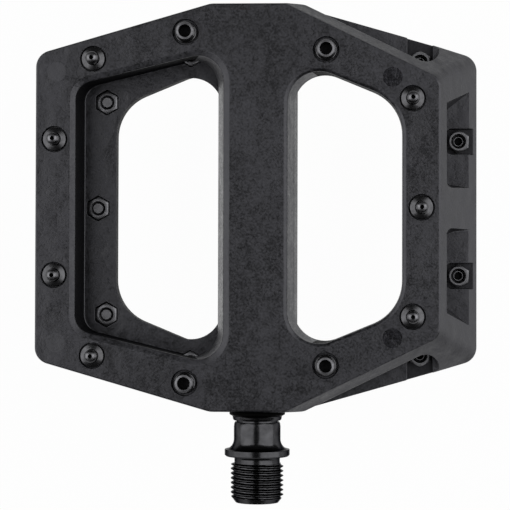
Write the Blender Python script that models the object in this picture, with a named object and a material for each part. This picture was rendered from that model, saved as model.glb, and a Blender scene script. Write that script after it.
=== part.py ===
"""Flat bicycle pedal for the right-hand crank: a moulded nylon platform turning on a steel spindle.

The spindle lies along Y with its crank end at -Y, the platform faces look along +Z and -Z, and the origin
is on the spindle's axis at the middle of the pedal's overall length. The platform repeats after half a
turn about the spindle, so every cut is made once for the upper face and copied by that turn.
Sizes are in millimetres, and each mesh is scaled to metres as it becomes an object.
"""

import math

import bmesh
import bpy
from mathutils import Matrix, Vector

MM = 0.001
GAP = 0.3
ARC_STEP = math.radians(12.0)
HALF_TURN = Matrix.Rotation(math.pi, 4, "Y")
SPINDLE_TURN = Matrix.Rotation(-math.pi / 2, 4, "X")

# Platform outline and thickness
HALF_WIDTH = 59.5
HALF_LENGTH = 54.7
HALF_THICK = 8.5
END_HALF_WIDTH = 12.4
CORNER_Y = 41.1
CORNER_RADIUS = 4.5
END_RADIUS = 6.0
PAST = 1.0

# Long chamfer that runs round the rear half of the upper face
CHAMFER_X = 48.9
CHAMFER_START_X = 7.2
CHAMFER_SLANT = math.radians(26.0)
CHAMFER_DROP = 1.3
CHAMFER_RADIUS = 4.5
CHAMFER_BAND = 2.4

# Spindle housing: half width against height above the spindle's axis
HOUSING_SIDE = ((0.0, 10.7), (5.6, 9.15), (7.4, 8.25), (HALF_THICK, 7.1), (HALF_THICK + PAST, 6.1))

# Sunk ledge and windows
LEDGE_Z = -2.9
BAR_WALL_X = 48.6
BAR_WALL_FOOT_X = 47.4
BAR_SLANT = math.radians(13.7)
BAR_SLANT_POINT = (18.0, 40.4)
BAR_RADIUS = 5.0
BAR_HOUSING_RADIUS = 7.0
WINDOW_X = 39.0
WINDOW_SLANT = math.radians(22.5)
WINDOW_SLANT_POINT = (20.6, 35.5)
WINDOW_RADIUS = 12.4
WINDOW_HOUSING_RADIUS = 8.5
EDGE_ROUND = 1.1
EDGE_ROUND_STEPS = 2

# Pockets in the long chamfer, and the slots that hold nuts in them
POCKET_FLOOR_Z = -2.4
POCKET_X = 50.8
POCKET_END_Y = 6.0
POCKET_SLANT_Y = 27.3
POCKET_SLANT = math.radians(38.3)
POCKET_RADIUS = 1.5
SIDE_POCKET_START_X = 12.0
SIDE_POCKET_END_X = 49.2
SIDE_POCKET_RADIUS = 4.0
SLOT_FLOOR_Z = -4.0
SLOT_HALF_WIDTH = 3.45
SLOT_RADIUS = 1.6
SLOT_ROOF_Z = 0.6

# Traction pins, their counterbores and nuts
PIN_TIP_Z = 12.5
SOCKET_PIN_TOP_Z = 11.1
SEAT_DEPTH = 1.2
COUNTERBORE_RADIUS = 3.45
PIN_FLANGE_RADIUS = 3.15
PIN_POST_RADIUS = 1.9
PIN_TIP_RADIUS = 1.5
PIN_SHANK_RADIUS = 1.5
PIN_END_Z = 2.9
HOLE_END_Z = 1.5
SOCKET_PIN_RADIUS = 2.55
SOCKET_PIN_HEX = 2.2
SOCKET_PIN_HEX_DEPTH = 1.9
NUT_FLATS = 5.5
NUT_HEIGHT = 2.4
NUT_BORE_RADIUS = PIN_SHANK_RADIUS + GAP
PIN_STEPS = 12
CORNER_PIN = (-44.0, 39.85)
EDGE_PIN = (-54.4, 18.25)
BAR_PIN = (41.65, 29.1)
BAR_MIDDLE_PIN_X = 44.0
BLIND_PIN = (-19.15, 47.0)
CENTRE_PIN = (18.55, 42.2)

# Spindle: distances along Y from the middle of the platform, and radii
SPINDLE_STEPS = 32
CRANK_END_Y = -79.55
THREAD_RADIUS = 7.144
THREAD_START_Y = -77.85
THREAD_END_Y = -69.45
RELIEF_RADIUS = 6.17
FLANGE_FACE_Y = -67.09
FLANGE_BACK_Y = -65.25
FLANGE_RADIUS = 8.82
FLANGE_CHAMFER = 0.5
FILLET_LENGTH = 2.8
SHANK_RADIUS = 6.33
SHANK_END_Y = -57.9
SEAL_LAND_RADIUS = 5.6
JOURNAL_START_Y = -52.5
JOURNAL_RADIUS = 5.3
JOURNAL_END_Y = -36.5
WAIST_Y = -31.0
WAIST_RADIUS = 4.6
BEARING_SHOULDER_Y = 37.7
SHOULDER_RADIUS = 3.8
BEARING_SEAT_RADIUS = 2.7
SPINDLE_END_Y = 49.4
KEY_FLATS = 8.0
KEY_DEPTH = 9.0

# Housing bore and what sits in it
BUSH_BORE_RADIUS = 6.9
BUSH_SHOULDER_Y = -37.0
MIDDLE_BORE_RADIUS = 5.9
BEARING_BORE_RADIUS = 6.8
BEARING_BORE_Y = 37.6
BUSH_WALL = 1.0
BUSH_START_Y = -51.8
SEAL_SPIGOT_Y = -52.2
SEAL_COLLAR_RADIUS = 7.53
SEAL_COLLAR_Y = -56.2
SEAL_LIP_Y = -57.45
SEAL_LIP_RADIUS = 6.65
SEAL_STEPS = 24
BEARING_WIDTH = 5.0
BEARING_START_Y = BEARING_BORE_Y + 0.4
RACE_OUTER_RADIUS = 6.5
RACE_OUTER_INSIDE = 5.5
RACE_INNER_OUTSIDE = 4.0
RACE_INNER_RADIUS = 3.0
BALL_COUNT = 7
BALL_RADIUS = 0.85
BALL_PITCH_RADIUS = 4.75
RACEWAY_DEPTH = 0.4
CAGE_HALF_THICK = 0.35
CAGE_HALF_WIDTH = 0.6
SHIELD_THICK = 0.4
SHIELD_INSET = 0.2
SHIELD_OUTER_RADIUS = 5.2
SHIELD_INNER_RADIUS = 4.3
BEARING_STEPS = 16
WASHER_START_Y = 43.4
WASHER_THICK = 0.7
WASHER_RADIUS = 4.2
LOCK_NUT_Y = 44.4
LOCK_NUT_FLATS = 9.0
LOCK_NUT_HEIGHT = 4.2
CAP_START_Y = 51.6
CAP_THICK = 2.8
CAP_CHAMFER = 0.6

# Where the middle of the platform lies along the spindle, from the middle of the overall length
PLATFORM_Y = -(HALF_LENGTH + CRANK_END_Y) / 2


def clear_scene():
    """Start from an empty scene."""
    for item in list(bpy.data.objects):
        bpy.data.objects.remove(item, do_unlink=True)


def make_material(name, colour, roughness, metallic):
    """Principled material in the piece's colour."""
    material = bpy.data.materials.new(name)
    material.use_nodes = True
    shader = material.node_tree.nodes["Principled BSDF"]
    shader.inputs["Base Color"].default_value = (*colour, 1.0)
    shader.inputs["Roughness"].default_value = roughness
    shader.inputs["Metallic"].default_value = metallic
    return material


def make_mesh(name, bm, smooth_angle=None):
    """Mesh in metres from a bmesh in millimetres, with its faces pointing out."""
    bmesh.ops.recalc_face_normals(bm, faces=bm.faces[:])
    bmesh.ops.scale(bm, vec=(MM, MM, MM), verts=bm.verts[:])
    mesh = bpy.data.meshes.new(name)
    bm.to_mesh(mesh)
    bm.free()
    if smooth_angle is not None:
        mesh.shade_smooth()
        mesh.set_sharp_from_angle(angle=smooth_angle)
    return mesh


def place(name, mesh, material, parent, location=(0.0, 0.0, 0.0), turn=None):
    """One named object, placed in millimetres from its parent."""
    if material is not None and not mesh.materials:
        mesh.materials.append(material)
    item = bpy.data.objects.new(name, mesh)
    bpy.context.scene.collection.objects.link(item)
    item.parent = parent
    matrix = Matrix.Translation(Vector(location) * MM)
    item.matrix_local = matrix @ turn if turn else matrix
    return item


def make_axis_empty(name, y):
    """Empty on the spindle's axis that carries the pieces turning together."""
    empty = bpy.data.objects.new(name, None)
    empty.location = (0.0, y * MM, 0.0)
    bpy.context.scene.collection.objects.link(empty)
    return empty


def rounded(corners):
    """Outline through (x, y, radius) corners listed anticlockwise, each rounded by an arc."""
    points = []
    count = len(corners)
    for index, (x, y, radius) in enumerate(corners):
        corner = Vector((x, y))
        before = (Vector(corners[index - 1][:2]) - corner).normalized()
        after = (Vector(corners[(index + 1) % count][:2]) - corner).normalized()
        turn = math.pi - before.angle(after)
        start = corner + before * radius * math.tan(turn / 2)
        centre = corner + (before + after).normalized() * radius / math.cos(turn / 2)
        steps = math.ceil(turn / ARC_STEP) if radius else 0
        for step in range(steps + 1):
            spoke = Matrix.Rotation(turn * step / max(steps, 1), 2) @ (start - centre)
            points.append(centre + spoke)
    return points


def loft(bm, rings):
    """Closed solid through (z, outline) rings of equal count, lowest first."""
    loops = [[bm.verts.new((p.x, p.y, z)) for p in outline] for z, outline in rings]
    for low, high in zip(loops, loops[1:]):
        for index in range(len(low)):
            following = (index + 1) % len(low)
            bm.faces.new((low[index], low[following], high[following], high[index]))
    bm.faces.new(reversed(loops[0]))
    bm.faces.new(loops[-1])
    return [vert for loop in loops for vert in loop]


def turned(bm, profile, steps, ring=False):
    """Solid of revolution about Z through (radius, height) points; a ring's profile closes on itself."""
    verts = [bm.verts.new((radius, 0.0, height)) for radius, height in profile]
    edges = [bm.edges.new(pair) for pair in zip(verts, verts[1:])]
    if ring:
        edges.append(bm.edges.new((verts[-1], verts[0])))
    bmesh.ops.spin(
        bm, geom=verts + edges, cent=(0, 0, 0), axis=(0, 0, 1), angle=math.tau, steps=steps, use_merge=True
    )
    bmesh.ops.remove_doubles(bm, verts=bm.verts[:], dist=0.001)


def hexagon(flats):
    """Regular hexagon with corners on Y, by its width across flats."""
    radius = flats / math.sqrt(3)
    angles = [math.pi / 3 * k for k in range(6)]
    return [Vector((-radius * math.sin(angle), radius * math.cos(angle))) for angle in angles]


def move(bm, verts, x, y, z=0.0):
    """Shift some verts of a bmesh."""
    bmesh.ops.translate(bm, vec=(x, y, z), verts=verts)


def add_half_turn_copy(bm):
    """Repeat everything drawn so far on the other face, half a turn about the spindle."""
    copied = bmesh.ops.duplicate(bm, geom=bm.verts[:] + bm.edges[:] + bm.faces[:])
    verts = [item for item in copied["geom"] if isinstance(item, bmesh.types.BMVert)]
    bmesh.ops.transform(bm, matrix=HALF_TURN, verts=verts)


def cut(target, name, bm, operation="DIFFERENCE"):
    """Cut a target with a hidden solid."""
    cutter = place(name, make_mesh(name, bm), None, target.parent)
    cutter.hide_render = True
    cutter.display_type = "WIRE"
    boolean = target.modifiers.new(name, "BOOLEAN")
    boolean.operation = operation
    boolean.solver = "EXACT"
    boolean.object = cutter


def line_y(point, slant, x):
    """Height at x of a line through a point that falls by its slant away from the housing."""
    return point[1] - math.tan(slant) * (abs(x) - point[0])


def housing_half_width(z):
    """Half width of the spindle housing at a height above or below its axis."""
    height = abs(z)
    for (low_z, low_x), (high_z, high_x) in zip(HOUSING_SIDE, HOUSING_SIDE[1:]):
        if height <= high_z:
            return low_x + (high_x - low_x) * (height - low_z) / (high_z - low_z)
    return HOUSING_SIDE[-1][1]


def edge_round_levels():
    """Depth below the face and outward growth along a rounded edge, deepest first."""
    levels = []
    for step in range(EDGE_ROUND_STEPS + 1):
        angle = math.pi / 2 * step / EDGE_ROUND_STEPS
        levels.append((EDGE_ROUND * (1 - math.sin(angle)), EDGE_ROUND * (1 - math.cos(angle))))
    levels.append((-PAST, EDGE_ROUND + PAST))
    return levels


def gap_outline(z, outer_x, point, slant, outer_radius, housing_radius, grow=0.0):
    """Outline at one height of the gap between the housing and the front bar."""
    inner_x = -housing_half_width(z)
    outer_x = -outer_x - grow
    lift = grow / math.cos(slant)
    inner_y = line_y(point, slant, inner_x) + lift
    outer_y = line_y(point, slant, outer_x) + lift
    return rounded((
        (inner_x, -inner_y, housing_radius + grow),
        (inner_x, inner_y, housing_radius + grow),
        (outer_x, outer_y, outer_radius + grow),
        (outer_x, -outer_y, outer_radius + grow),
    ))


def draw_recess(bm):
    """Sunk well of the front half, from the ledge up through the upper face."""
    depth_to_round = HALF_THICK - EDGE_ROUND - LEDGE_Z
    levels = [(LEDGE_Z, 0.0), (0.0, 0.0), (HOUSING_SIDE[1][0], 0.0)]
    levels += [(HALF_THICK - depth, grow) for depth, grow in edge_round_levels()]
    rings = []
    for z, grow in levels:
        climb = min((z - LEDGE_Z) / depth_to_round, 1.0)
        wall_x = BAR_WALL_FOOT_X + (BAR_WALL_X - BAR_WALL_FOOT_X) * climb
        outline = gap_outline(z, wall_x, BAR_SLANT_POINT, BAR_SLANT, BAR_RADIUS, BAR_HOUSING_RADIUS, grow)
        rings.append((z, outline))
    loft(bm, rings)


def draw_window(bm):
    """Through window of the front half, from below the lower face up into the well."""
    levels = [(depth - HALF_THICK, grow) for depth, grow in reversed(edge_round_levels())]
    levels += [(-HOUSING_SIDE[1][0], 0.0), (LEDGE_Z + PAST, 0.0)]
    rings = []
    for z, grow in levels:
        outline = gap_outline(
            z, WINDOW_X, WINDOW_SLANT_POINT, WINDOW_SLANT, WINDOW_RADIUS, WINDOW_HOUSING_RADIUS, grow
        )
        rings.append((z, outline))
    loft(bm, rings)


def chamfer_line_y(x, offset=0.0):
    """Y of the slanted upper edge of the long chamfer at x, moved outwards by an offset."""
    return HALF_LENGTH - math.tan(CHAMFER_SLANT) * (x - CHAMFER_START_X) + offset / math.cos(CHAMFER_SLANT)


def draw_chamfer_keep(bm):
    """Solid left inside the long chamfer: its sides widen downwards by the chamfer's slope."""
    far = HALF_WIDTH + HALF_LENGTH
    rings = []
    for z in (-HALF_THICK - PAST, HALF_THICK + PAST):
        offset = (HALF_THICK - z) / CHAMFER_DROP
        side_x = CHAMFER_X + offset
        corner_y = chamfer_line_y(side_x, offset)
        far_x = -HALF_WIDTH
        far_y = chamfer_line_y(far_x, offset)
        rings.append((z, rounded((
            (side_x, -corner_y, CHAMFER_RADIUS),
            (side_x, corner_y, CHAMFER_RADIUS),
            (far_x, far_y, 0.0),
            (-far, far_y, 0.0),
            (-far, -far_y, 0.0),
            (far_x, -far_y, 0.0),
        ))))
    loft(bm, rings)


def draw_pockets(bm):
    """Level-floored pockets in the long chamfer: two in the rear edge, two in the slanted sides."""
    top = HALF_THICK + PAST
    past_x = HALF_WIDTH + PAST
    past_y = HALF_LENGTH + PAST
    rear = rounded((
        (POCKET_X, POCKET_END_Y, POCKET_RADIUS),
        (past_x, POCKET_END_Y, 0.0),
        (past_x, POCKET_SLANT_Y + math.tan(POCKET_SLANT) * (past_x - POCKET_X), 0.0),
        (POCKET_X, POCKET_SLANT_Y, 0.0),
    ))
    side = rounded((
        (SIDE_POCKET_START_X, chamfer_line_y(SIDE_POCKET_START_X, CHAMFER_BAND), 0.0),
        (SIDE_POCKET_END_X, chamfer_line_y(SIDE_POCKET_END_X, CHAMFER_BAND), SIDE_POCKET_RADIUS),
        (SIDE_POCKET_END_X, past_y, 0.0),
        (SIDE_POCKET_START_X, past_y, 0.0),
    ))
    for outline in (rear, side):
        loft(bm, [(POCKET_FLOOR_Z, outline), (top, outline)])
        mirrored = [Vector((p.x, -p.y)) for p in reversed(outline)]
        loft(bm, [(POCKET_FLOOR_Z, mirrored), (top, mirrored)])


def draw_slots(bm):
    """Open-ended slots for the nuts of the other face's edge and corner pins."""
    past_x = HALF_WIDTH + PAST
    past_y = HALF_LENGTH + PAST
    edge_x, edge_y = -EDGE_PIN[0], EDGE_PIN[1]
    corner_x, corner_y = -CORNER_PIN[0], CORNER_PIN[1]
    edge_slot = rounded((
        (edge_x - SLOT_HALF_WIDTH, edge_y - SLOT_HALF_WIDTH, SLOT_RADIUS),
        (past_x, edge_y - SLOT_HALF_WIDTH, 0.0),
        (past_x, edge_y + SLOT_HALF_WIDTH, 0.0),
        (edge_x - SLOT_HALF_WIDTH, edge_y + SLOT_HALF_WIDTH, SLOT_RADIUS),
    ))
    corner_slot = rounded((
        (corner_x - SLOT_HALF_WIDTH, corner_y - SLOT_HALF_WIDTH, SLOT_RADIUS),
        (corner_x + SLOT_HALF_WIDTH, corner_y - SLOT_HALF_WIDTH, SLOT_RADIUS),
        (corner_x + SLOT_HALF_WIDTH, past_y, 0.0),
        (corner_x - SLOT_HALF_WIDTH, past_y, 0.0),
    ))
    for outline in (edge_slot, corner_slot):
        loft(bm, [(SLOT_FLOOR_Z, outline), (SLOT_ROOF_Z, outline)])
        mirrored = [Vector((p.x, -p.y)) for p in reversed(outline)]
        loft(bm, [(SLOT_FLOOR_Z, mirrored), (SLOT_ROOF_Z, mirrored)])


def slot_nut_sites():
    """Nuts in the open slots of the upper side: (name, x, y, seat height)."""
    sites = []
    for side, sign in (("out", 1), ("in", -1)):
        for name, (x, y) in (("corner", CORNER_PIN), ("edge", EDGE_PIN)):
            sites.append((f"{name}_{side}", -x, sign * y, SLOT_FLOOR_Z + GAP))
    return sites


def ledge_nut_sites():
    """Nuts sunk in the ledge of the upper side, flush with it: (name, x, y, seat height)."""
    seat = LEDGE_Z - NUT_HEIGHT
    sites = [("bar_mid", -BAR_MIDDLE_PIN_X, 0.0, seat)]
    for side, sign in (("out", 1), ("in", -1)):
        for name, (x, y) in (("bar", BAR_PIN), ("centre", CENTRE_PIN)):
            sites.append((f"{name}_{side}", -x, sign * y, seat))
    return sites


def flanged_pin_sites():
    """Flanged pins of the upper face: (name, x, y)."""
    sites = [("bar_mid", BAR_MIDDLE_PIN_X, 0.0)]
    for side, sign in (("out", 1), ("in", -1)):
        for name, (x, y) in (("corner", CORNER_PIN), ("edge", EDGE_PIN), ("bar", BAR_PIN)):
            sites.append((f"{name}_{side}", x, sign * y))
    return sites


def socket_pin_sites():
    """Socket-head pins of the upper face: (name, x, y)."""
    sites = []
    for side, sign in (("out", 1), ("in", -1)):
        for name, (x, y) in (("blind", BLIND_PIN), ("centre", CENTRE_PIN)):
            sites.append((f"{name}_{side}", x, sign * y))
    return sites


def draw_nut_recesses(bm):
    """Hexagonal seats sunk in the ledge, with a low arch where the wall stands over the nut."""
    outline = hexagon(NUT_FLATS + 2 * GAP)
    for name, x, y, seat in ledge_nut_sites():
        roof = SLOT_ROOF_Z if name.startswith("centre") else LEDGE_Z + PAST
        verts = loft(bm, [(seat - GAP, outline), (roof, outline)])
        move(bm, verts, x, y)


def draw_pin_holes(bm):
    """Counterbores and clearance holes for every pin of the upper face."""
    seat = HALF_THICK - SEAT_DEPTH
    hole = PIN_SHANK_RADIUS + GAP
    for _, x, y in flanged_pin_sites() + socket_pin_sites():
        profile = (
            (0.0, HALF_THICK + PAST),
            (COUNTERBORE_RADIUS, HALF_THICK + PAST),
            (COUNTERBORE_RADIUS, seat),
            (hole, seat),
            (hole, HOLE_END_Z),
            (0.0, HOLE_END_Z),
        )
        known = set(bm.verts)
        turned(bm, profile, PIN_STEPS)
        move(bm, [vert for vert in bm.verts if vert not in known], x, y)


def draw_bore(bm):
    """Stepped bore along the spindle, open at both ends of the housing."""
    end = HALF_LENGTH + PAST
    turned(bm, (
        (0.0, end),
        (BEARING_BORE_RADIUS, end),
        (BEARING_BORE_RADIUS, BEARING_BORE_Y),
        (MIDDLE_BORE_RADIUS, BEARING_BORE_Y),
        (MIDDLE_BORE_RADIUS, BUSH_SHOULDER_Y),
        (BUSH_BORE_RADIUS, BUSH_SHOULDER_Y),
        (BUSH_BORE_RADIUS, -end),
        (0.0, -end),
    ), SPINDLE_STEPS)
    bmesh.ops.transform(bm, matrix=SPINDLE_TURN, verts=bm.verts[:])


def build_platform(parent, nylon):
    """Moulded platform: outline, long chamfers, wells, windows, pockets, nut seats and pin holes."""
    corners = []
    for x_sign, y_sign in ((1, -1), (1, 1), (-1, 1), (-1, -1)):
        wide = (x_sign * HALF_WIDTH, y_sign * CORNER_Y, CORNER_RADIUS)
        end = (x_sign * END_HALF_WIDTH, y_sign * HALF_LENGTH, END_RADIUS)
        corners += [end, wide] if x_sign * y_sign < 0 else [wide, end]
    outline = rounded(corners)
    bm = bmesh.new()
    loft(bm, [(-HALF_THICK, outline), (HALF_THICK, outline)])
    body = place("platform_body", make_mesh("platform_body", bm), nylon, parent)

    for name, turn in (("upper_chamfer", False), ("lower_chamfer", True)):
        bm = bmesh.new()
        draw_chamfer_keep(bm)
        if turn:
            bmesh.ops.transform(bm, matrix=HALF_TURN, verts=bm.verts[:])
        cut(body, name, bm, "INTERSECT")
    for name, draw in (
        ("wells", draw_recess),
        ("windows", draw_window),
        ("pockets", draw_pockets),
        ("nut_slots", draw_slots),
        ("nut_recesses", draw_nut_recesses),
        ("pin_holes", draw_pin_holes),
    ):
        bm = bmesh.new()
        draw(bm)
        add_half_turn_copy(bm)
        cut(body, name, bm)
    bm = bmesh.new()
    draw_bore(bm)
    cut(body, "spindle_bore", bm)


def flanged_pin_mesh():
    """Traction pin with a dished flange, a tapered post and a shank for the nut."""
    seat = HALF_THICK - SEAT_DEPTH + GAP
    bm = bmesh.new()
    turned(bm, (
        (0.0, PIN_TIP_Z),
        (PIN_TIP_RADIUS - GAP, PIN_TIP_Z),
        (PIN_TIP_RADIUS, PIN_TIP_Z - GAP),
        (PIN_POST_RADIUS, HALF_THICK - GAP),
        (PIN_FLANGE_RADIUS, HALF_THICK + GAP),
        (PIN_FLANGE_RADIUS, seat),
        (PIN_SHANK_RADIUS, seat),
        (PIN_SHANK_RADIUS, PIN_END_Z + GAP),
        (PIN_SHANK_RADIUS - GAP, PIN_END_Z),
        (0.0, PIN_END_Z),
    ), PIN_STEPS)
    return make_mesh("flanged_pin", bm, math.radians(40.0))


def socket_pin_mesh():
    """Traction pin with a round head and a hexagonal key socket, drawn round the socket's hexagon."""
    seat = HALF_THICK - SEAT_DEPTH + GAP
    socket_floor = SOCKET_PIN_TOP_Z - SOCKET_PIN_HEX_DEPTH
    circle = [Vector((math.cos(math.tau * k / PIN_STEPS), math.sin(math.tau * k / PIN_STEPS)))
              for k in range(PIN_STEPS)]
    socket = []
    for direction in circle:
        flat = math.pi / 3
        from_flat = math.fmod(math.atan2(direction.y, direction.x) + math.tau + flat / 2, flat) - flat / 2
        socket.append(direction * SOCKET_PIN_HEX / 2 / math.cos(from_flat))
    levels = (
        (PIN_END_Z, PIN_SHANK_RADIUS - GAP),
        (PIN_END_Z + GAP, PIN_SHANK_RADIUS),
        (seat, PIN_SHANK_RADIUS),
        (seat, SOCKET_PIN_RADIUS),
        (SOCKET_PIN_TOP_Z - GAP, SOCKET_PIN_RADIUS),
        (SOCKET_PIN_TOP_Z, SOCKET_PIN_RADIUS - GAP),
    )
    rings = [(z, [radius * point for point in circle]) for z, radius in levels]
    rings += [(SOCKET_PIN_TOP_Z, socket), (socket_floor, socket)]
    bm = bmesh.new()
    loft(bm, rings)
    return make_mesh("socket_pin", bm, math.radians(40.0))


def nut_mesh(name, flats, height, bore):
    """Hexagon nut standing on its seat, bored through."""
    outer = hexagon(flats)
    steps = 12
    bm = bmesh.new()
    rings = []
    for z in (0.0, height):
        rim = []
        hole = []
        for k in range(steps):
            corner = outer[k // 2]
            rim.append(corner if k % 2 == 0 else (corner + outer[(k // 2 + 1) % 6]) / 2)
            hole.append(rim[-1].normalized() * bore)
        rings.append((z, rim, hole))
    loops = []
    for z, rim, hole in rings:
        loops.append([[bm.verts.new((p.x, p.y, z)) for p in loop] for loop in (rim, hole)])
    (low_rim, low_hole), (high_rim, high_hole) = loops
    around = (low_rim, high_rim, high_hole, low_hole, low_rim)
    for first, second in zip(around, around[1:]):
        for k in range(steps):
            following = (k + 1) % steps
            bm.faces.new((first[k], first[following], second[following], second[k]))
    return make_mesh(name, bm)


def build_fasteners(parent, steel):
    """Pins of both faces, and the nuts that hold them from the other side."""
    flanged = flanged_pin_mesh()
    socket = socket_pin_mesh()
    nut = nut_mesh("pin_nut", NUT_FLATS, NUT_HEIGHT, NUT_BORE_RADIUS)
    for face, sign, turn in (("top", 1, None), ("bottom", -1, HALF_TURN)):
        for mesh, sites in ((flanged, flanged_pin_sites()), (socket, socket_pin_sites())):
            for name, x, y in sites:
                place(f"pin_{face}_{name}", mesh, steel, parent, (sign * x, y, 0.0), turn)
    # A nut on the upper side holds a bottom pin, and the other way round
    for face, sign, turn in (("bottom", 1, None), ("top", -1, HALF_TURN)):
        for name, x, y, seat in slot_nut_sites() + ledge_nut_sites():
            place(f"nut_{face}_{name}", nut, steel, parent, (sign * x, y, sign * seat), turn)


def spindle_piece(name, profile, material, parent, steps, ring=True):
    """Turned piece on the spindle's axis, from (radius, y) points."""
    bm = bmesh.new()
    turned(bm, profile, steps, ring)
    bmesh.ops.transform(bm, matrix=SPINDLE_TURN, verts=bm.verts[:])
    return place(name, make_mesh(name, bm, math.radians(35.0)), material, parent)


def tube(inner, outer, start, end):
    """Profile of a plain ring."""
    return ((inner, start), (outer, start), (outer, end), (inner, end))


def build_spindle(parent, steel):
    """Spindle with its crank thread, flange, shank, bush journal, tapered middle and bearing seat."""
    fillet = []
    for step in range(5):
        angle = math.pi / 2 * step / 4
        fillet.append((
            SHANK_RADIUS + (FLANGE_RADIUS - GAP - SHANK_RADIUS) * (1 - math.sin(angle)),
            FLANGE_BACK_Y + FILLET_LENGTH * (1 - math.cos(angle)),
        ))
    profile = [
        (0.0, CRANK_END_Y),
        (RELIEF_RADIUS - GAP, CRANK_END_Y),
        (THREAD_RADIUS, THREAD_START_Y),
        (THREAD_RADIUS, THREAD_END_Y),
        (RELIEF_RADIUS, THREAD_END_Y + GAP),
        (RELIEF_RADIUS, FLANGE_FACE_Y),
        (FLANGE_RADIUS - FLANGE_CHAMFER, FLANGE_FACE_Y),
        (FLANGE_RADIUS, FLANGE_FACE_Y + FLANGE_CHAMFER),
        (FLANGE_RADIUS, FLANGE_BACK_Y - GAP),
        *fillet,
        (SHANK_RADIUS, SHANK_END_Y - 2 * GAP),
        (SHANK_RADIUS - GAP, SHANK_END_Y),
        (SEAL_LAND_RADIUS, SHANK_END_Y),
        (SEAL_LAND_RADIUS, JOURNAL_START_Y),
        (JOURNAL_RADIUS, JOURNAL_START_Y + GAP),
        (JOURNAL_RADIUS, JOURNAL_END_Y),
        (WAIST_RADIUS, WAIST_Y),
        (SHOULDER_RADIUS, BEARING_SHOULDER_Y),
        (BEARING_SEAT_RADIUS, BEARING_SHOULDER_Y),
        (BEARING_SEAT_RADIUS, SPINDLE_END_Y - GAP),
        (BEARING_SEAT_RADIUS - GAP, SPINDLE_END_Y),
        (0.0, SPINDLE_END_Y),
    ]
    spindle = spindle_piece("spindle", profile, steel, parent, SPINDLE_STEPS, ring=False)
    bm = bmesh.new()
    outline = [Vector((p.y, p.x)) for p in reversed(hexagon(KEY_FLATS))]
    loft(bm, [(CRANK_END_Y - PAST, outline), (CRANK_END_Y + KEY_DEPTH, outline)])
    bmesh.ops.transform(bm, matrix=SPINDLE_TURN, verts=bm.verts[:])
    cut(spindle, "key_socket", bm)


def build_seal_and_bush(parent, rubber, bronze):
    """Lip seal on the inboard face, and the plain bush behind it."""
    inner = SEAL_LAND_RADIUS + GAP
    bush_inner = JOURNAL_RADIUS + GAP
    face = -HALF_LENGTH - GAP
    spindle_piece("inboard_seal", (
        (inner, SEAL_SPIGOT_Y),
        (BUSH_BORE_RADIUS - GAP, SEAL_SPIGOT_Y),
        (BUSH_BORE_RADIUS - GAP, face),
        (SEAL_COLLAR_RADIUS, face),
        (SEAL_COLLAR_RADIUS, SEAL_COLLAR_Y + 2 * GAP),
        (SEAL_COLLAR_RADIUS - GAP, SEAL_COLLAR_Y),
        (SEAL_LIP_RADIUS, SEAL_COLLAR_Y),
        (SHANK_RADIUS, SEAL_LIP_Y),
        (inner, SEAL_LIP_Y),
    ), rubber, parent, SEAL_STEPS)
    wall = tube(bush_inner, bush_inner + BUSH_WALL, BUSH_START_Y, BUSH_SHOULDER_Y - GAP)
    spindle_piece("inboard_bush", wall, bronze, parent, SEAL_STEPS)


def race_profile(wall, face, groove):
    """Bearing race between its plain wall and its grooved face; groove points out of the face."""
    start = BEARING_START_Y
    end = BEARING_START_Y + BEARING_WIDTH
    middle = (start + end) / 2
    half = BALL_RADIUS
    return (
        (wall, start),
        (face, start),
        (face, middle - half),
        (face + groove, middle - half / 2),
        (face + groove, middle + half / 2),
        (face, middle + half),
        (face, end),
        (wall, end),
    )


def build_ball_cage(parent, steel):
    """Ring of balls joined by their cage."""
    middle = BEARING_START_Y + BEARING_WIDTH / 2
    cage = spindle_piece("ball_cage", tube(
        BALL_PITCH_RADIUS - CAGE_HALF_THICK,
        BALL_PITCH_RADIUS + CAGE_HALF_THICK,
        middle - CAGE_HALF_WIDTH,
        middle + CAGE_HALF_WIDTH,
    ), steel, parent, 2 * BALL_COUNT)
    bm = bmesh.new()
    for k in range(BALL_COUNT):
        angle = math.tau * k / BALL_COUNT
        spot = Matrix.Translation((
            BALL_PITCH_RADIUS * math.cos(angle),
            middle,
            BALL_PITCH_RADIUS * math.sin(angle),
        ))
        bmesh.ops.create_uvsphere(bm, u_segments=8, v_segments=4, radius=BALL_RADIUS, matrix=spot)
    cut(cage, "balls", bm, "UNION")


def build_bearing(spindle_axis, platform_axis, cage_axis, steel):
    """Outboard cartridge bearing: races, shields and the ring of balls."""
    outer = race_profile(RACE_OUTER_RADIUS, RACE_OUTER_INSIDE, RACEWAY_DEPTH)
    inner = race_profile(RACE_INNER_RADIUS, RACE_INNER_OUTSIDE, -RACEWAY_DEPTH)
    spindle_piece("bearing_outer_race", outer, steel, platform_axis, BEARING_STEPS)
    spindle_piece("bearing_inner_race", inner, steel, spindle_axis, BEARING_STEPS)
    first = BEARING_START_Y + SHIELD_INSET
    last = BEARING_START_Y + BEARING_WIDTH - SHIELD_INSET - SHIELD_THICK
    for name, start in (("bearing_shield_inner", first), ("bearing_shield_outer", last)):
        shield = tube(SHIELD_INNER_RADIUS, SHIELD_OUTER_RADIUS, start, start + SHIELD_THICK)
        spindle_piece(name, shield, steel, platform_axis, BEARING_STEPS)
    build_ball_cage(cage_axis, steel)


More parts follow.
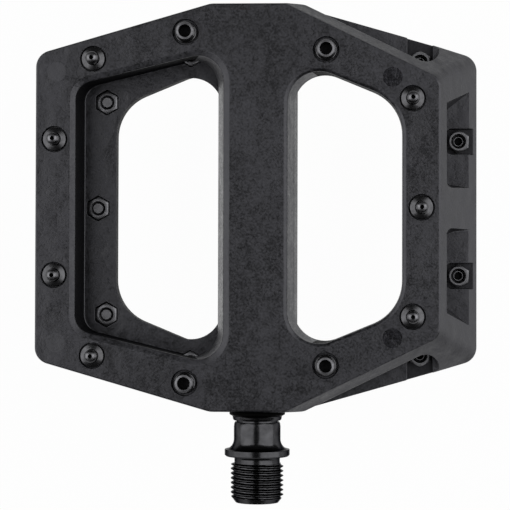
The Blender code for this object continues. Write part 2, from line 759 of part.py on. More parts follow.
def build_spindle_hardware(spindle_axis, platform_axis, steel, nylon):
    """Washer and lock nut that keep the bearing on the spindle, and the cap over them."""
    bore = BEARING_SEAT_RADIUS + GAP
    washer = tube(bore, WASHER_RADIUS, WASHER_START_Y, WASHER_START_Y + WASHER_THICK)
    spindle_piece("thrust_washer", washer, steel, spindle_axis, BEARING_STEPS)
    nut = nut_mesh("lock_nut", LOCK_NUT_FLATS, LOCK_NUT_HEIGHT, bore)
    place("lock_nut", nut, steel, spindle_axis, (0.0, LOCK_NUT_Y, 0.0), SPINDLE_TURN)
    radius = BEARING_BORE_RADIUS - GAP
    end = CAP_START_Y + CAP_THICK
    spindle_piece("end_cap", (
        (0.0, CAP_START_Y),
        (radius, CAP_START_Y),
        (radius, end - CAP_CHAMFER),
        (radius - CAP_CHAMFER, end),
        (0.0, end),
    ), nylon, platform_axis, SEAL_STEPS, ring=False)


def main():
    clear_scene()
    nylon = make_material("black_glass_filled_nylon", (0.045, 0.045, 0.047), 0.5, 0.0)
    cap_nylon = make_material("black_nylon_plug", (0.03, 0.03, 0.032), 0.45, 0.0)
    pin_steel = make_material("black_oxide_pin_steel", (0.12, 0.12, 0.125), 0.38, 0.9)
    spindle_steel = make_material("black_chromoly_steel", (0.03, 0.03, 0.032), 0.22, 0.9)
    bearing_steel = make_material("bearing_steel", (0.56, 0.57, 0.58), 0.25, 1.0)
    rubber = make_material("seal_rubber", (0.02, 0.02, 0.02), 0.7, 0.0)
    bronze = make_material("bush_bronze", (0.45, 0.3, 0.14), 0.4, 1.0)

    spindle_axis = make_axis_empty("spindle_axis", PLATFORM_Y)
    platform_axis = make_axis_empty("platform_axis", PLATFORM_Y)
    cage_axis = make_axis_empty("cage_axis", PLATFORM_Y)
    build_platform(platform_axis, nylon)
    build_fasteners(platform_axis, pin_steel)
    build_spindle(spindle_axis, spindle_steel)
    build_seal_and_bush(platform_axis, rubber, bronze)
    build_bearing(spindle_axis, platform_axis, cage_axis, bearing_steel)
    build_spindle_hardware(spindle_axis, platform_axis, bearing_steel, cap_nylon)


main()
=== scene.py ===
"""Looks of the flat bicycle pedal, built round its packed solids.

The moulded platform, the pins, the nuts, the spindle with its cut thread, the lip seal and the end plug are
made here in full detail and stand for their plain solids. The bearing's pieces keep theirs and get finishes.
Lengths in the code are millimetres from the middle of the platform unless a name says otherwise.
"""

import math
from functools import partial

import bmesh
import bpy
from bpy.props import FloatProperty, FloatVectorProperty, IntProperty, PointerProperty
from mathutils import Matrix, Vector


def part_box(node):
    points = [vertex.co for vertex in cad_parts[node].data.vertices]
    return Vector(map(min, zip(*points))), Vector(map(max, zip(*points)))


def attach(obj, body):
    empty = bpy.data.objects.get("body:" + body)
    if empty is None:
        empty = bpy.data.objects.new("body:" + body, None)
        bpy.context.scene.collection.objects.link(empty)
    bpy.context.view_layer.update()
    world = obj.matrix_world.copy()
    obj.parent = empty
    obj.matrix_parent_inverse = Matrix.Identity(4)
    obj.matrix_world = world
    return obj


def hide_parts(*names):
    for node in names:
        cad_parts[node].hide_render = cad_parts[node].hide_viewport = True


bl_info = {
    "name": "Flat Pedal Looks",
    "version": (1, 0, 0),
    "blender": (4, 5, 0),
    "location": "View3D > Sidebar > Pedal",
    "description": "Moulded platform, traction pins, nuts and spindle of a flat bicycle pedal",
    "category": "Object",
}

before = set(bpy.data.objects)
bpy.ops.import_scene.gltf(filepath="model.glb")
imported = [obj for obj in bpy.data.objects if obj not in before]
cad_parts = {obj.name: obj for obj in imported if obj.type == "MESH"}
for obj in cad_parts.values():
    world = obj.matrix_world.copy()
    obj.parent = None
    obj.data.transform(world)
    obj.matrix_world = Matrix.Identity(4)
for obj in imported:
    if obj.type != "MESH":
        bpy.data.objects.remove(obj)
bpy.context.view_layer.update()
PLATFORM_LOW, PLATFORM_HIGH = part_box("platform_body")

MM = 0.001
MICRON = 0.000001
ARC_STEP = math.radians(6.0)
SECTOR = math.pi / 3
HALF_TURN = Matrix.Rotation(math.pi, 4, "Y")
AXIS_TURN = Matrix.Rotation(-math.pi / 2, 4, "X")
PLATFORM_Y = (PLATFORM_LOW.y + PLATFORM_HIGH.y) / 2 / MM
# How far a cutter reaches beyond what it cuts
PAST = 1.0

# Platform outline and the long chamfer round the rear half of a face
END_HALF_WIDTH = 12.4
CORNER_Y = 41.1
CORNER_RADIUS = 4.5
END_RADIUS = 6.0
RIM_STEPS = 3
CHAMFER_X = 48.9
CHAMFER_START_X = 7.2
CHAMFER_SLANT = math.radians(26.0)
CHAMFER_DROP = 1.3
CHAMFER_RADIUS = 4.5
CHAMFER_BAND = 2.4
CREST_STEPS = 5
CREST_END_DROP = 0.0002

# Spindle housing, and the sloping strip that every opening has along its upper edge
HOUSING_HALF_WIDTH = 10.8
HOUSING_TOP_X = 7.1
STRIP_STEPS = 4

# Sunk ledge and windows
LEDGE_Z = -2.9
BAR_WALL_X = 48.8
BAR_WALL_FOOT_X = 47.85
BAR_SLANT = math.radians(13.7)
BAR_SLANT_POINT = (18.0, 40.4)
BAR_RADIUS = 5.0
BAR_HOUSING_RADIUS = 7.0
WINDOW_X = 39.0
WINDOW_SLANT = math.radians(22.5)
WINDOW_SLANT_POINT = (20.6, 35.5)
WINDOW_RADIUS = 12.4
WINDOW_HOUSING_RADIUS = 8.5
FLANK_BITE = 0.03
LEDGE_STEPS = 4

# Pockets in the long chamfer, and the slots that hold nuts in them
POCKET_FLOOR_Z = -2.4
POCKET_X = 50.8
POCKET_END_Y = 6.0
POCKET_SLANT_Y = 27.3
POCKET_SLANT = math.radians(38.3)
POCKET_END_TILT = 0.14
POCKET_RADIUS = 2.0
POCKET_DRAFT = 0.15
POCKET_DRAFT_Z = 1.6
SIDE_POCKET_START_X = 12.0
SIDE_POCKET_END_X = 49.2
SIDE_POCKET_RADIUS = 4.0
SLOT_FLOOR_Z = -4.0
SLOT_HALF_WIDTH = 3.45
SLOT_RADIUS = 1.6
SLOT_ROOF_Z = 0.6

# Pin holes, nut seats and the marks left by the mould's ejector pins
COUNTERBORE_RADIUS = 3.45
COUNTERBORE_DEPTH = 1.2
PIN_HOLE_RADIUS = 1.8
PIN_HOLE_END_Z = 1.5
NUT_SEAT_GAP = 0.3
HOLE_STEPS = 48
EJECTOR_RADIUS = 2.65
EJECTOR_MARGIN = 0.25
EJECTOR_SITES = ((-53.9, 36.4), (-53.9, -36.4), (36.3, 34.8), (36.3, -34.8))

# Housing bore
BORE_STEPS = 96
BUSH_BORE_RADIUS = 6.9
BUSH_SHOULDER_Y = -37.0
MIDDLE_BORE_RADIUS = 5.9
BEARING_BORE_RADIUS = 6.8
BEARING_BORE_Y = 37.6
BORE_LEAD_IN = 0.4

# Finishing of the cut platform: what is welded, dissolved, broken and shaded smooth
WELD = 5 * MICRON
FLAT_ANGLE = math.radians(0.1)
BREAK_ANGLE = math.radians(35.0)
BREAK_STEPS = 2
THIN_TIP = math.radians(50.0)
PLATFORM_SHARP = math.radians(34.0)
SPINDLE_SHARP = math.radians(28.0)
PIECE_SHARP = math.radians(32.0)

# Which faces get a finish of their own: well walls and nut slot faces, darker as painted shade, and flat ends
GAP_MIDDLE_X = 29.0
WALL_RISE = 0.3
WALL_NEAR_X = 16.0
WALL_FAR_X = 49.5
WALL_FAR_Y = 42.0
WALL_FAR_Z = 6.5
SLOT_REACH = 5.5
EDGE_TOUCH = 0.05
FACING = 0.9

# Traction pins: flanged ones, the same with a key socket in the end as well, and wide socket-head ones
FLANGED_SITES = ("bar_mid", "bar_out", "bar_in")
DRILLED_SITES = ("corner_out", "corner_in", "edge_out", "edge_in")
SOCKET_SITES = ("blind_out", "blind_in", "centre_out", "centre_in")
PIN_STEPS = 36
PIN_EDGE = 0.2
PIN_SHANK_RADIUS = 1.5
CONE_SWELL = 0.42
THREAD_STATION = 12
THREAD_ROWS = 36
CREST_END = 0.06
ROOT_START = 0.4
POST_CHAMFER = 0.9
POST_THREAD_DEPTH = 0.15
TIP_SINK_SHARE = 0.65
TIP_SINK_DEPTH = 0.25
TIP_SOCKET_DEPTH = 1.6
SOCKET_FLANGE_WIDTH = 0.4
SOCKET_FLANGE_RISE = 0.7
SOCKET_CONE_RISE = 0.1
SOCKET_CHAMFER = 0.4
SOCKET_TIP_SETBACK = 0.28
SOCKET_TIP_FALL = 0.12
SOCKET_SINK_SETBACK = 0.83
SOCKET_SINK_DEPTH = 0.35
SOCKET_DEPTH = 2.3
SOCKET_THREAD_DEPTH = 0.4
SOCKET_MARGIN = 0.25

# Nuts: rows of points along the profile, chamfers, and the chance turn of a nut in its slot
NUT_STEPS = 48
NUT_ROWS = 9
LOCKING_NUT_ROWS = 13
NUT_CHAMFER = math.radians(30.0)
COLLAR_EDGE = 0.25
SLOT_NUT_TURN = 0.02

# Spindle: radius and distance along the axis
SPINDLE_STEPS = 120
CRANK_END_Y = -79.55
KEY_DEPTH = 9.0
KEY_POINT_DEPTH = 0.8
KEY_POINT_SHARE = 0.02
KEY_LEAD = 0.4
KEY_LEAD_RADIUS = 4.75
THREAD_START_Y = -77.85
THREAD_END_Y = -68.95
THREAD_END_STEP = 0.35
THREAD_ROWS_PER_TURN = 14
THREAD_RUN_OUT = 3.0
THREAD_CREST_SHARE = 0.12
THREAD_ROOT_SHARE = 0.2
NECK_FILLET = 0.8
NECK_STEPS = 5
FLANGE_FACE_Y = -67.09
FLANGE_BACK_Y = -65.25
FLANGE_EDGE = 0.35
FLANGE_BACK_EDGE = 0.1
FILLET_LENGTH = 2.8
FILLET_STEPS = 10
SHANK_END_Y = -57.85
SHANK_LEAD = ((0.0, 1.3), (0.1, 0.45), (0.32, 0.0))
SEAL_LAND_RADIUS = 5.6
SEAL_LAND_END_Y = -52.5
JOURNAL = ((5.3, -52.2), (5.3, -36.5), (4.6, -31.0), (3.8, 37.7), (2.7, 37.7), (2.7, 49.1), (2.4, 49.4))

# Lip seal and end plug: radius, or setback from a radius, and distance along the axis
SEAL_STEPS = 96
SEAL_BACK = ((5.9, -52.2), (6.6, -52.2), (6.6, -55.0))
SEAL_COLLAR = ((0.1, -55.0), (0.0, -55.1), (0.0, -55.75), (0.12, -55.9), (0.4, -56.05))
SEAL_LIP = ((6.85, -56.2), (6.72, -56.35), (6.68, -56.55), (6.62, -56.9), (6.54, -57.2), (6.36, -57.4),
            (6.15, -57.45), (5.9, -57.4))
SEAL_CASE_Y = 56.1
PLUG_STEPS = 96
PLUG_CLEARANCE = 0.3
PLUG_RIM = ((0.0, 51.6), (0.0, 53.9), (0.15, 54.25), (0.5, 54.4), (1.1, 54.4), (1.35, 54.2), (1.5, 53.95))
PLUG_KEY = ((6.3, 53.9), (6.0, 53.75), (6.0, 52.6))

BLACK = (0.0, 0.0, 0.0, 1.0)
WHITE = (1.0, 1.0, 1.0, 1.0)

# Roughness where it is rough and where it is smooth, strength of the sheen, and share of the pale streaks
NYLON_FINISHES = {
    "moulded_glass_nylon": (0.52, 0.3, 0.5, 1.0),
    "ejector_polished_nylon": (0.24, 0.2, 0.5, 1.0),
    "ejector_dulled_nylon": (0.6, 0.4, 0.66, 1.0),
    # The next two are darker, with little sheen and fewer pale streaks: painted shade on well walls and nut
    # slots
    "painted_shade_wall_nylon": (0.6, 0.5, 0.04, 0.25),
    "painted_shade_slot_nylon": (0.6, 0.45, 0.26, 0.5),
    "moulded_plug_nylon": (0.54, 0.42, 0.5, 1.0),
}

# Stage: floor height, camera offset and sensor width are in millimetres. The floor's half size, the clipping
# distances and a soft box's x, y, height, width and depth are in metres
FLOOR_Z = -61.0
FLOOR_HALF_SIZE = 6.0
FLOOR_SHADOW = 0.04
WORLD_STRENGTH = 0.04
FRONT_BOX = (-0.47, 0.03, 0.374, 0.7, 0.888)
REAR_BOX = (0.46, 0.06, 0.386, 0.7, 0.937)
CAMERA_OFFSET = (-1.178, -5.897)
SENSOR_WIDTH = 36.0
LENS_SHIFT = (0.003, -0.0492)
CLIP_START = 0.01
CLIP_END = 50.0


def linear(hex_colour):
    """Linear RGBA of an sRGB hex colour such as #3d3d3f."""
    channels = [int(hex_colour[k:k + 2], 16) / 255 for k in (1, 3, 5)]
    return (*[c / 12.92 if c <= 0.04045 else ((c + 0.055) / 1.055) ** 2.4 for c in channels], 1.0)


def length(label, millimetres, note):
    """Property for a length, kept in metres."""
    return FloatProperty(
        name=label, description=note, default=millimetres * MM, subtype="DISTANCE", unit="LENGTH", precision=5
    )


def colour(label, hex_colour, note):
    """Property for a colour."""
    return FloatVectorProperty(
        name=label, description=note, default=linear(hex_colour), size=4, min=0.0, max=1.0, subtype="COLOR"
    )


def number(label, default, note, unit, subtype="NONE"):
    """Property for a number with a unit."""
    return FloatProperty(name=label, description=note, default=default, unit=unit, subtype=subtype)


class PlatformSizes(bpy.types.PropertyGroup):
    """Sizes of the moulded platform"""
    half_width: length("Half width", PLATFORM_HIGH.x / MM, "From the spindle's axis to front or rear edge")
    half_length: length("Half length", PLATFORM_HIGH.y / MM - PLATFORM_Y, "From the middle to either end")
    half_thick: length("Half thickness", PLATFORM_HIGH.z / MM, "From the spindle's axis to either face")
    rim_round: length("Rim rounding", 0.5, "Radius along the outer edge of each face")
    crest_round: length("Crest rounding", 0.9, "Radius along the top of the rear chamfer")
    slant_crest_round: length("Slanted crest rounding", 0.25, "Radius along the top of the slanted chamfers")
    well_strip: length("Well strip", 1.55, "Width of the sloping strip along the upper edge of a well")
    window_strip: length("Window strip", 0.8, "Width of the sloping strip along the edge of a window")
    strip_fall: length("Strip fall", 0.55, "How far the strip falls towards the opening")
    strip_round: length("Strip rounding", 1.2, "Radius between the strip and the face")
    foot_round: length("Foot rounding", 0.35, "Radius between a well's wall and its ledge")
    ledge_round: length("Ledge rounding", 0.1, "Radius along the ledge's edge over the window")
    break_edge: length("Broken edge", 0.22, "Width of the small bevel on all other edges")
    ejector_depth: length("Ejector mark depth", 0.06, "How far the mould's ejector marks are sunk")


class PinSizes(bpy.types.PropertyGroup):
    """Sizes of the traction pins"""
    flange_radius: length("Flange radius", 3.15, "Radius of the conical flange")
    flange_top: length("Flange top", 8.95, "Height of the flange at its post above the spindle's axis")
    cone_rise: length("Cone rise", 0.45, "How far the flange climbs from its rim to the post")
    post_radius: length("Post radius", 1.72, "Major radius of the post's thread")
    post_pitch: length("Post pitch", 0.7, "Pitch of the post's thread")
    tip_radius: length("Tip radius", 1.15, "Outer radius of the pin's tip")
    tip_fall: length("Tip fall", 0.2, "How far the tip falls from its socket to its outer edge")
    tip_hole: length("Tip socket", 0.9, "Width across flats of the key socket in the tip")
    end_hole: length("End socket", 1.1, "Radius of the key socket in the shank's end")
    end_depth: length("End socket depth", 1.6, "Depth of the key socket in the shank's end")
    socket_radius: length("Socket pin radius", 2.55, "Radius of a socket-head pin")
    socket_flats: length("Socket pin key", 2.7, "Width across flats of its key socket")
    socket_pitch: length("Socket pin pitch", 0.8, "Pitch of its thread")


class NutSizes(bpy.types.PropertyGroup):
    """Sizes of the nuts behind the pins"""
    flats: length("Across flats", 5.5, "Width of the nut across its flats")
    height: length("Height", 2.4, "Height of the nut")
    face_radius: length("Face radius", 2.62, "Radius where the corner chamfer starts")
    bore_radius: length("Bore radius", 1.62, "Radius of the bore")
    sink_radius: length("Countersink radius", 2.0, "Radius of the countersink at the nut's face")
    sink_depth: length("Countersink depth", 0.45, "Depth of the countersink")
    collar_radius: length("Collar radius", 2.72, "Radius of a locking nut's round collar")
    collar_height: length("Collar height", 0.95, "Height of the collar above the hexagon")
    insert_radius: length("Insert radius", 2.02, "Outer radius of the locking insert")
    insert_hole: length("Insert hole", 1.72, "Inner radius of the locking insert")
    insert_drop: length("Insert drop", 0.35, "How far the insert lies below the collar's top")


class SpindleSizes(bpy.types.PropertyGroup):
    """Sizes of the spindle's visible end"""
    thread_radius: length("Thread radius", 7.144, "Major radius of the 9/16 inch crank thread")
    thread_pitch: length("Thread pitch", 1.27, "Pitch of the crank thread, 20 turns to the inch")
    thread_depth: length("Thread depth", 0.74, "Depth of the crank thread")
    relief_radius: length("Relief radius", 6.17, "Radius of the neck between thread and flange")
    flange_radius: length("Flange radius", 8.82, "Radius of the flange that seats on the crank")
    shank_radius: length("Shank radius", 6.33, "Radius of the polished shank")
    key_flats: length("Key size", 8.0, "Width across flats of the key socket in the crank end")
    seal_radius: length("Seal radius", 7.53, "Radius of the lip seal's collar")


class FinishColours(bpy.types.PropertyGroup):
    """Colours of the finishes"""
    nylon: colour("Nylon", "#050506", "Body colour of the moulded nylon")
    nylon_flow: colour("Nylon flow marks", "#26262a", "Paler glass-rich streaks in the moulded nylon")
    recess_steel: colour("Recess steel", "#161617", "Unworn oxide inside the pins' sockets")
    pin_steel: colour("Pin steel", "#545456", "Black-oxide steel of the pins")
    nut_steel: colour("Nut steel", "#747477", "Phosphated steel of the nuts")
    spindle_black: colour("Spindle black", "#464648", "Electro-coated chromoly of the spindle")
    rubber: colour("Seal rubber", "#020202", "Nitrile rubber of the lip seal")
    bearing_steel: colour("Bearing steel", "#c4c6c8", "Ground steel of the bearing")
    bronze: colour("Bush bronze", "#b08a4a", "Sintered bronze of the bush")
    floor: colour("Floor", "#f4f4f4", "Plain pale floor")


class StageSettings(bpy.types.PropertyGroup):
    """Camera and soft lights"""
    camera_distance: length("Camera distance", 500.0, "From the platform's middle to the camera")
    focal_length: number("Focal length", 129.9, "Lens for a 36 mm wide square frame", "CAMERA")
    roll_tilt: number(
        "Tilt about the spindle", 0.0503, "How far the rear edge is rolled towards the camera",
        "ROTATION", "ANGLE",
    )
    pitch_tilt: number(
        "Tilt along the spindle", 0.0205, "How far the crank end is raised towards the camera",
        "ROTATION", "ANGLE",
    )
    image_turn: number(
        "Turn in the picture", -0.0027, "How far the pedal is turned in the picture plane",
        "ROTATION", "ANGLE",
    )
    left_light: number("Left soft box", 3.6, "Power of the soft box beside the front edge", "POWER")
    right_light: number("Right soft box", 4.0, "Power of the soft box beside the rear edge", "POWER")
    seed: IntProperty(name="Seed", description="Seed of the pins' and nuts' chance turns", default=7)


def rounded(corners):
    """Outline through (x, y, radius) corners listed anticlockwise, each rounded by an arc."""
    points = []
    count = len(corners)
    for index, (x, y, radius) in enumerate(corners):
        corner = Vector((x, y))
        before = (Vector(corners[index - 1][:2]) - corner).normalized()
        after = (Vector(corners[(index + 1) % count][:2]) - corner).normalized()
        turn = math.pi - before.angle(after)
        start = corner + before * radius * math.tan(turn / 2)
        centre = corner + (before + after).normalized() * radius / math.cos(turn / 2)
        steps = math.ceil(turn / ARC_STEP) if radius else 0
        for step in range(steps + 1):
            spoke = Matrix.Rotation(turn * step / max(steps, 1), 2) @ (start - centre)
            points.append(centre + spoke)
    return points


def grown(corners, amount):
    """The same corners with every side moved outwards by an amount."""
    moved = []
    count = len(corners)
    for index, (x, y, radius) in enumerate(corners):
        corner = Vector((x, y))
        before = (Vector(corners[index - 1][:2]) - corner).normalized()
        after = (Vector(corners[(index + 1) % count][:2]) - corner).normalized()
        shift = (before + after).normalized() * amount / math.sin(before.angle(after) / 2)
        moved.append((*(corner - shift), radius + amount))
    return moved


def loft(bm, rings, hollow=False):
    """Closed solid through (z, outline) rings of equal count, lowest first. A hollow one has no ends: its
    last ring joins its first."""
    loops = [[bm.verts.new((p.x, p.y, z)) for p in outline] for z, outline in rings]
    for low, high in zip(loops, loops[1:] + loops[:1] if hollow else loops[1:]):
        for index in range(len(low)):
            following = (index + 1) % len(low)
            bm.faces.new((low[index], low[following], high[following], high[index]))
    if not hollow:
        bm.faces.new(reversed(loops[0]))
        bm.faces.new(loops[-1])
    return [vert for loop in loops for vert in loop]


def spun(bm, rings, steps, hollow=False):
    """Closed solid about Z through (radius, z) rings; a radius may be a function of the angle."""
    outlines = []
    for radius, z in rings:
        outline = []
        for k in range(steps):
            angle = math.tau * k / steps
            reach = radius(angle) if callable(radius) else radius
            outline.append(Vector((reach * math.cos(angle), reach * math.sin(angle))))
        outlines.append((z, outline))
    return loft(bm, outlines, hollow)


def hexagon_reach(flats, angle):
    """Distance from the middle of a hexagon to its side in one direction."""
    return flats / 2 / math.cos((angle + SECTOR / 2) % SECTOR - SECTOR / 2)


def quarter(radius, steps):
    """(height, setback) pairs of a quarter-round edge, from its wall to its face."""
    angles = [math.pi / 2 * k / steps for k in range(steps + 1)]
    return [(radius * math.sin(angle), radius * (1 - math.cos(angle))) for angle in angles]


def as_mesh(name, bm):
    """Mesh in metres from a bmesh in millimetres, with its faces pointing out."""
    bmesh.ops.recalc_face_normals(bm, faces=bm.faces[:])
    bmesh.ops.scale(bm, vec=(MM, MM, MM), verts=bm.verts[:])
    mesh = bpy.data.meshes.new(name)
    bm.to_mesh(mesh)
    bm.free()
    return mesh


def add_object(name, mesh):
    """Object at the origin with this mesh."""
    item = bpy.data.objects.new(name, mesh)
    bpy.context.scene.collection.objects.link(item)
    return item


def applied(item):
    """Plain mesh of an object with its modifiers applied; the object itself is removed."""
    graph = bpy.context.evaluated_depsgraph_get()
    mesh = bpy.data.meshes.new_from_object(item.evaluated_get(graph))
    bpy.data.objects.remove(item)
    return mesh


def show(name, mesh, material, body, nodes, sharp=PIECE_SHARP):
    """Finished piece: rides on its body and stands for its solids. Without a sharp angle it keeps its
    shading."""
    mesh.materials.clear()
    mesh.materials.append(material)
    if sharp:
        mesh.shade_smooth()
        mesh.set_sharp_from_angle(angle=sharp)
    piece = add_object(name, mesh)
    mesh.name = name
    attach(piece, body)
    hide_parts(*nodes)
    return piece


def feed(tree, node, inputs):
    """Set or link a node's inputs."""
    for key, value in inputs.items():
        if isinstance(value, bpy.types.NodeSocket):
            tree.links.new(value, node.inputs[key])
        else:
            node.inputs[key].default_value = value


def add(tree, kind, inputs=None, **settings):
    """Add a node, set its properties, and set or link its inputs."""
    node = tree.nodes.new(kind)
    for key, value in settings.items():
        setattr(node, key, value)
    feed(tree, node, inputs or {})
    return node


def maths(tree, operation, *values):
    """Output of a math node."""
    return add(tree, "ShaderNodeMath", dict(enumerate(values)), operation=operation).outputs[0]


def ranged(tree, value, low, high, to_low, to_high):
    """Output of a map range node."""
    return add(tree, "ShaderNodeMapRange", {0: value, 1: low, 2: high, 3: to_low, 4: to_high}).outputs[0]


def noise(tree, place, size, detail, roughness=0.5, distortion=0.0):
    """Output of a noise texture whose features are this many millimetres across."""
    return add(tree, "ShaderNodeTexNoise", {
        "Vector": place, "Scale": 1.0 / (size * MM), "Detail": detail, "Roughness": roughness,
        "Distortion": distortion,
    }).outputs[0]


def blend(tree, share, start, end):
    """Output of a mix of two numbers."""
    return add(tree, "ShaderNodeMix", {0: share, 2: start, 3: end}).outputs[0]


def tint(tree, share, start, end):
    """Output of a mix of two colours."""
    return add(tree, "ShaderNodeMix", {0: share, 6: start, 7: end}, data_type="RGBA").outputs[2]


def stretched(tree, place, scale):
    """Coordinates scaled by axis."""
    return add(tree, "ShaderNodeMapping", {"Vector": place, "Scale": scale}).outputs[0]


def bumped(tree, height, strength, depth, normal=None):
    """Normal of a relief this many millimetres deep, on top of another normal if there is one."""
    inputs = {"Height": height, "Strength": strength, "Distance": depth * MM}
    if normal is not None:
        inputs["Normal"] = normal
    return add(tree, "ShaderNodeBump", inputs).outputs[0]


def new_material(name):
    """Empty node material: its tree, its Principled shader, and object coordinates in metres."""
    material = bpy.data.materials.new(name)
    material.use_nodes = True
    tree = material.node_tree
    shader = tree.nodes["Principled BSDF"]
    place = add(tree, "ShaderNodeTexCoord").outputs["Object"]
    return material, tree, shader, place


def moulded_nylon(name, colours):
    """Glass-filled nylon, injection moulded into a spark-textured tool: satin black with paler, glass-rich
    flow streaks a centimetre long, faint sink marks about 5 mm across, and a fine grain. The real grain is
    about 0.1 mm; it is drawn at 0.6 mm to show."""
    material, tree, shader, place = new_material(name)
    rough, smooth, sheen, streak = NYLON_FINISHES[name]
    flow = noise(tree, stretched(tree, place, (1.0, 0.5, 1.0)), 10.0, 4.0, 0.6, 0.8)
    mottle = noise(tree, place, 2.2, 3.0, 0.7)
    grain = noise(tree, place, 0.6, 1.0)
    fine = blend(tree, 0.4, blend(tree, 0.5, flow, mottle), grain)
    share = ranged(tree, fine, 0.44, 0.66, 0.0, streak)
    sink = bumped(tree, noise(tree, place, 5.0, 1.5), 1.0, 0.3)
    feed(tree, shader, {
        "Base Color": tint(tree, share, colours.nylon, colours.nylon_flow),
        "Roughness": ranged(tree, fine, 0.4, 0.6, smooth, rough),
        "Normal": bumped(tree, blend(tree, 0.65, grain, mottle), 0.8, 0.12, sink),
        "IOR": 1.58,
        "Specular IOR Level": sheen,
        "Specular Tint": linear("#f7f7ff"),
    })
    return material


def oxide_steel(name, tone, smooth, rough):
    """Turned steel with a thin conversion coat, such as black oxide, phosphate or zinc: a metal whose coat
    lies in cloudy patches of about 1 mm, with a fine tool finish. Tool marks are about 0.05 mm apart; they
    are drawn at 0.3 mm to show."""
    material, tree, shader, place = new_material(name)
    cloud = noise(tree, place, 1.0, 3.0, 0.6)
    feed(tree, shader, {
        "Base Color": tint(tree, ranged(tree, cloud, 0.3, 0.7, 0.7, 1.0), BLACK, tone),
        "Roughness": ranged(tree, cloud, 0.3, 0.7, rough, smooth),
        "Normal": bumped(tree, noise(tree, place, 0.3, 1.0), 0.25, 0.01),
        "Metallic": 1.0,
    })
    return material


def coated_chromoly(name, tone):
    """Ground chromoly steel under a thin black electro-coat: deep black with clear, slightly soft reflections
    and faint rings from grinding. Grinding lines are about 0.02 mm apart; they are drawn at 0.2 mm to
    show."""
    material, tree, shader, place = new_material(name)
    lines = noise(tree, stretched(tree, place, (0.02, 1.0, 0.02)), 0.2, 2.0, 0.6)
    cloud = noise(tree, place, 2.5, 2.0)
    feed(tree, shader, {
        "Base Color": tint(tree, ranged(tree, cloud, 0.3, 0.7, 0.6, 1.0), BLACK, tone),
        "Roughness": ranged(tree, lines, 0.3, 0.7, 0.16, 0.26),
        "Normal": bumped(tree, lines, 0.15, 0.003),
        "Metallic": 1.0,
        "Specular Tint": linear("#9a9a9a"),
    })
    return material


def moulded_rubber(name, tone):
    """Nitrile rubber or soft nylon, moulded: dull black with a dusty bloom in patches of about 1.5 mm."""
    material, tree, shader, place = new_material(name)
    bloom = noise(tree, place, 1.5, 4.0, 0.65)
    feed(tree, shader, {
        "Base Color": tint(tree, ranged(tree, bloom, 0.35, 0.75, 0.0, 0.35), tone, linear("#060606")),
        "Roughness": ranged(tree, bloom, 0.3, 0.7, 0.5, 0.66),
        "IOR": 1.52,
        "Specular IOR Level": 0.02,
    })
    return material


def ground_metal(name, tone, rough):
    """Ground or sintered metal of the bearing: bright, with rings from grinding, drawn at 0.2 mm to show."""
    material, tree, shader, place = new_material(name)
    lines = noise(tree, stretched(tree, place, (0.05, 1.0, 0.05)), 0.2, 2.0)
    feed(tree, shader, {
        "Base Color": tint(tree, ranged(tree, lines, 0.3, 0.7, 0.8, 1.0), BLACK, tone),
        "Roughness": ranged(tree, lines, 0.3, 0.7, rough, rough + 0.12),
        "Metallic": 1.0,
    })
    return material


def line_y(point, slant, x):
    """Height at x of a line through a point that falls by its slant away from the housing."""
    return point[1] - math.tan(slant) * (abs(x) - point[0])


def edge_strip(width, fall, curve):
    """(fall below the face, distance from the wall) pairs of a strip that rounds off into the face."""
    slope = math.atan2(fall, width)
    end = width + curve * math.tan(slope / 2)
    pairs = [(fall, 0.0)]
    for k in range(STRIP_STEPS + 1):
        angle = slope * (1 - k / STRIP_STEPS)
        pairs.append((curve * (1 - math.cos(angle)), end - curve * math.sin(angle)))
    return pairs


def gap_outline(inner_x, outer_x, point, slant, radii, grow):
    """Outline at one height of the gap between the housing and a bar, its bar side grown outwards."""
    outer_x = -outer_x - grow
    lift = grow / math.cos(slant)
    inner_y = line_y(point, slant, inner_x) + lift
    outer_y = line_y(point, slant, outer_x) + lift
    outer_radius, housing_radius = radii
    return rounded((
        (inner_x, -inner_y, housing_radius + grow),
        (inner_x, inner_y, housing_radius + grow),
        (outer_x, outer_y, outer_radius + grow),
        (outer_x, -outer_y, outer_radius + grow),
    ))


def chamfer_line_y(x, half_length, offset=0.0):
    """Y of the slanted upper edge of the long chamfer at x, moved outwards by an offset."""
    return half_length - math.tan(CHAMFER_SLANT) * (x - CHAMFER_START_X) + offset / math.cos(CHAMFER_SLANT)


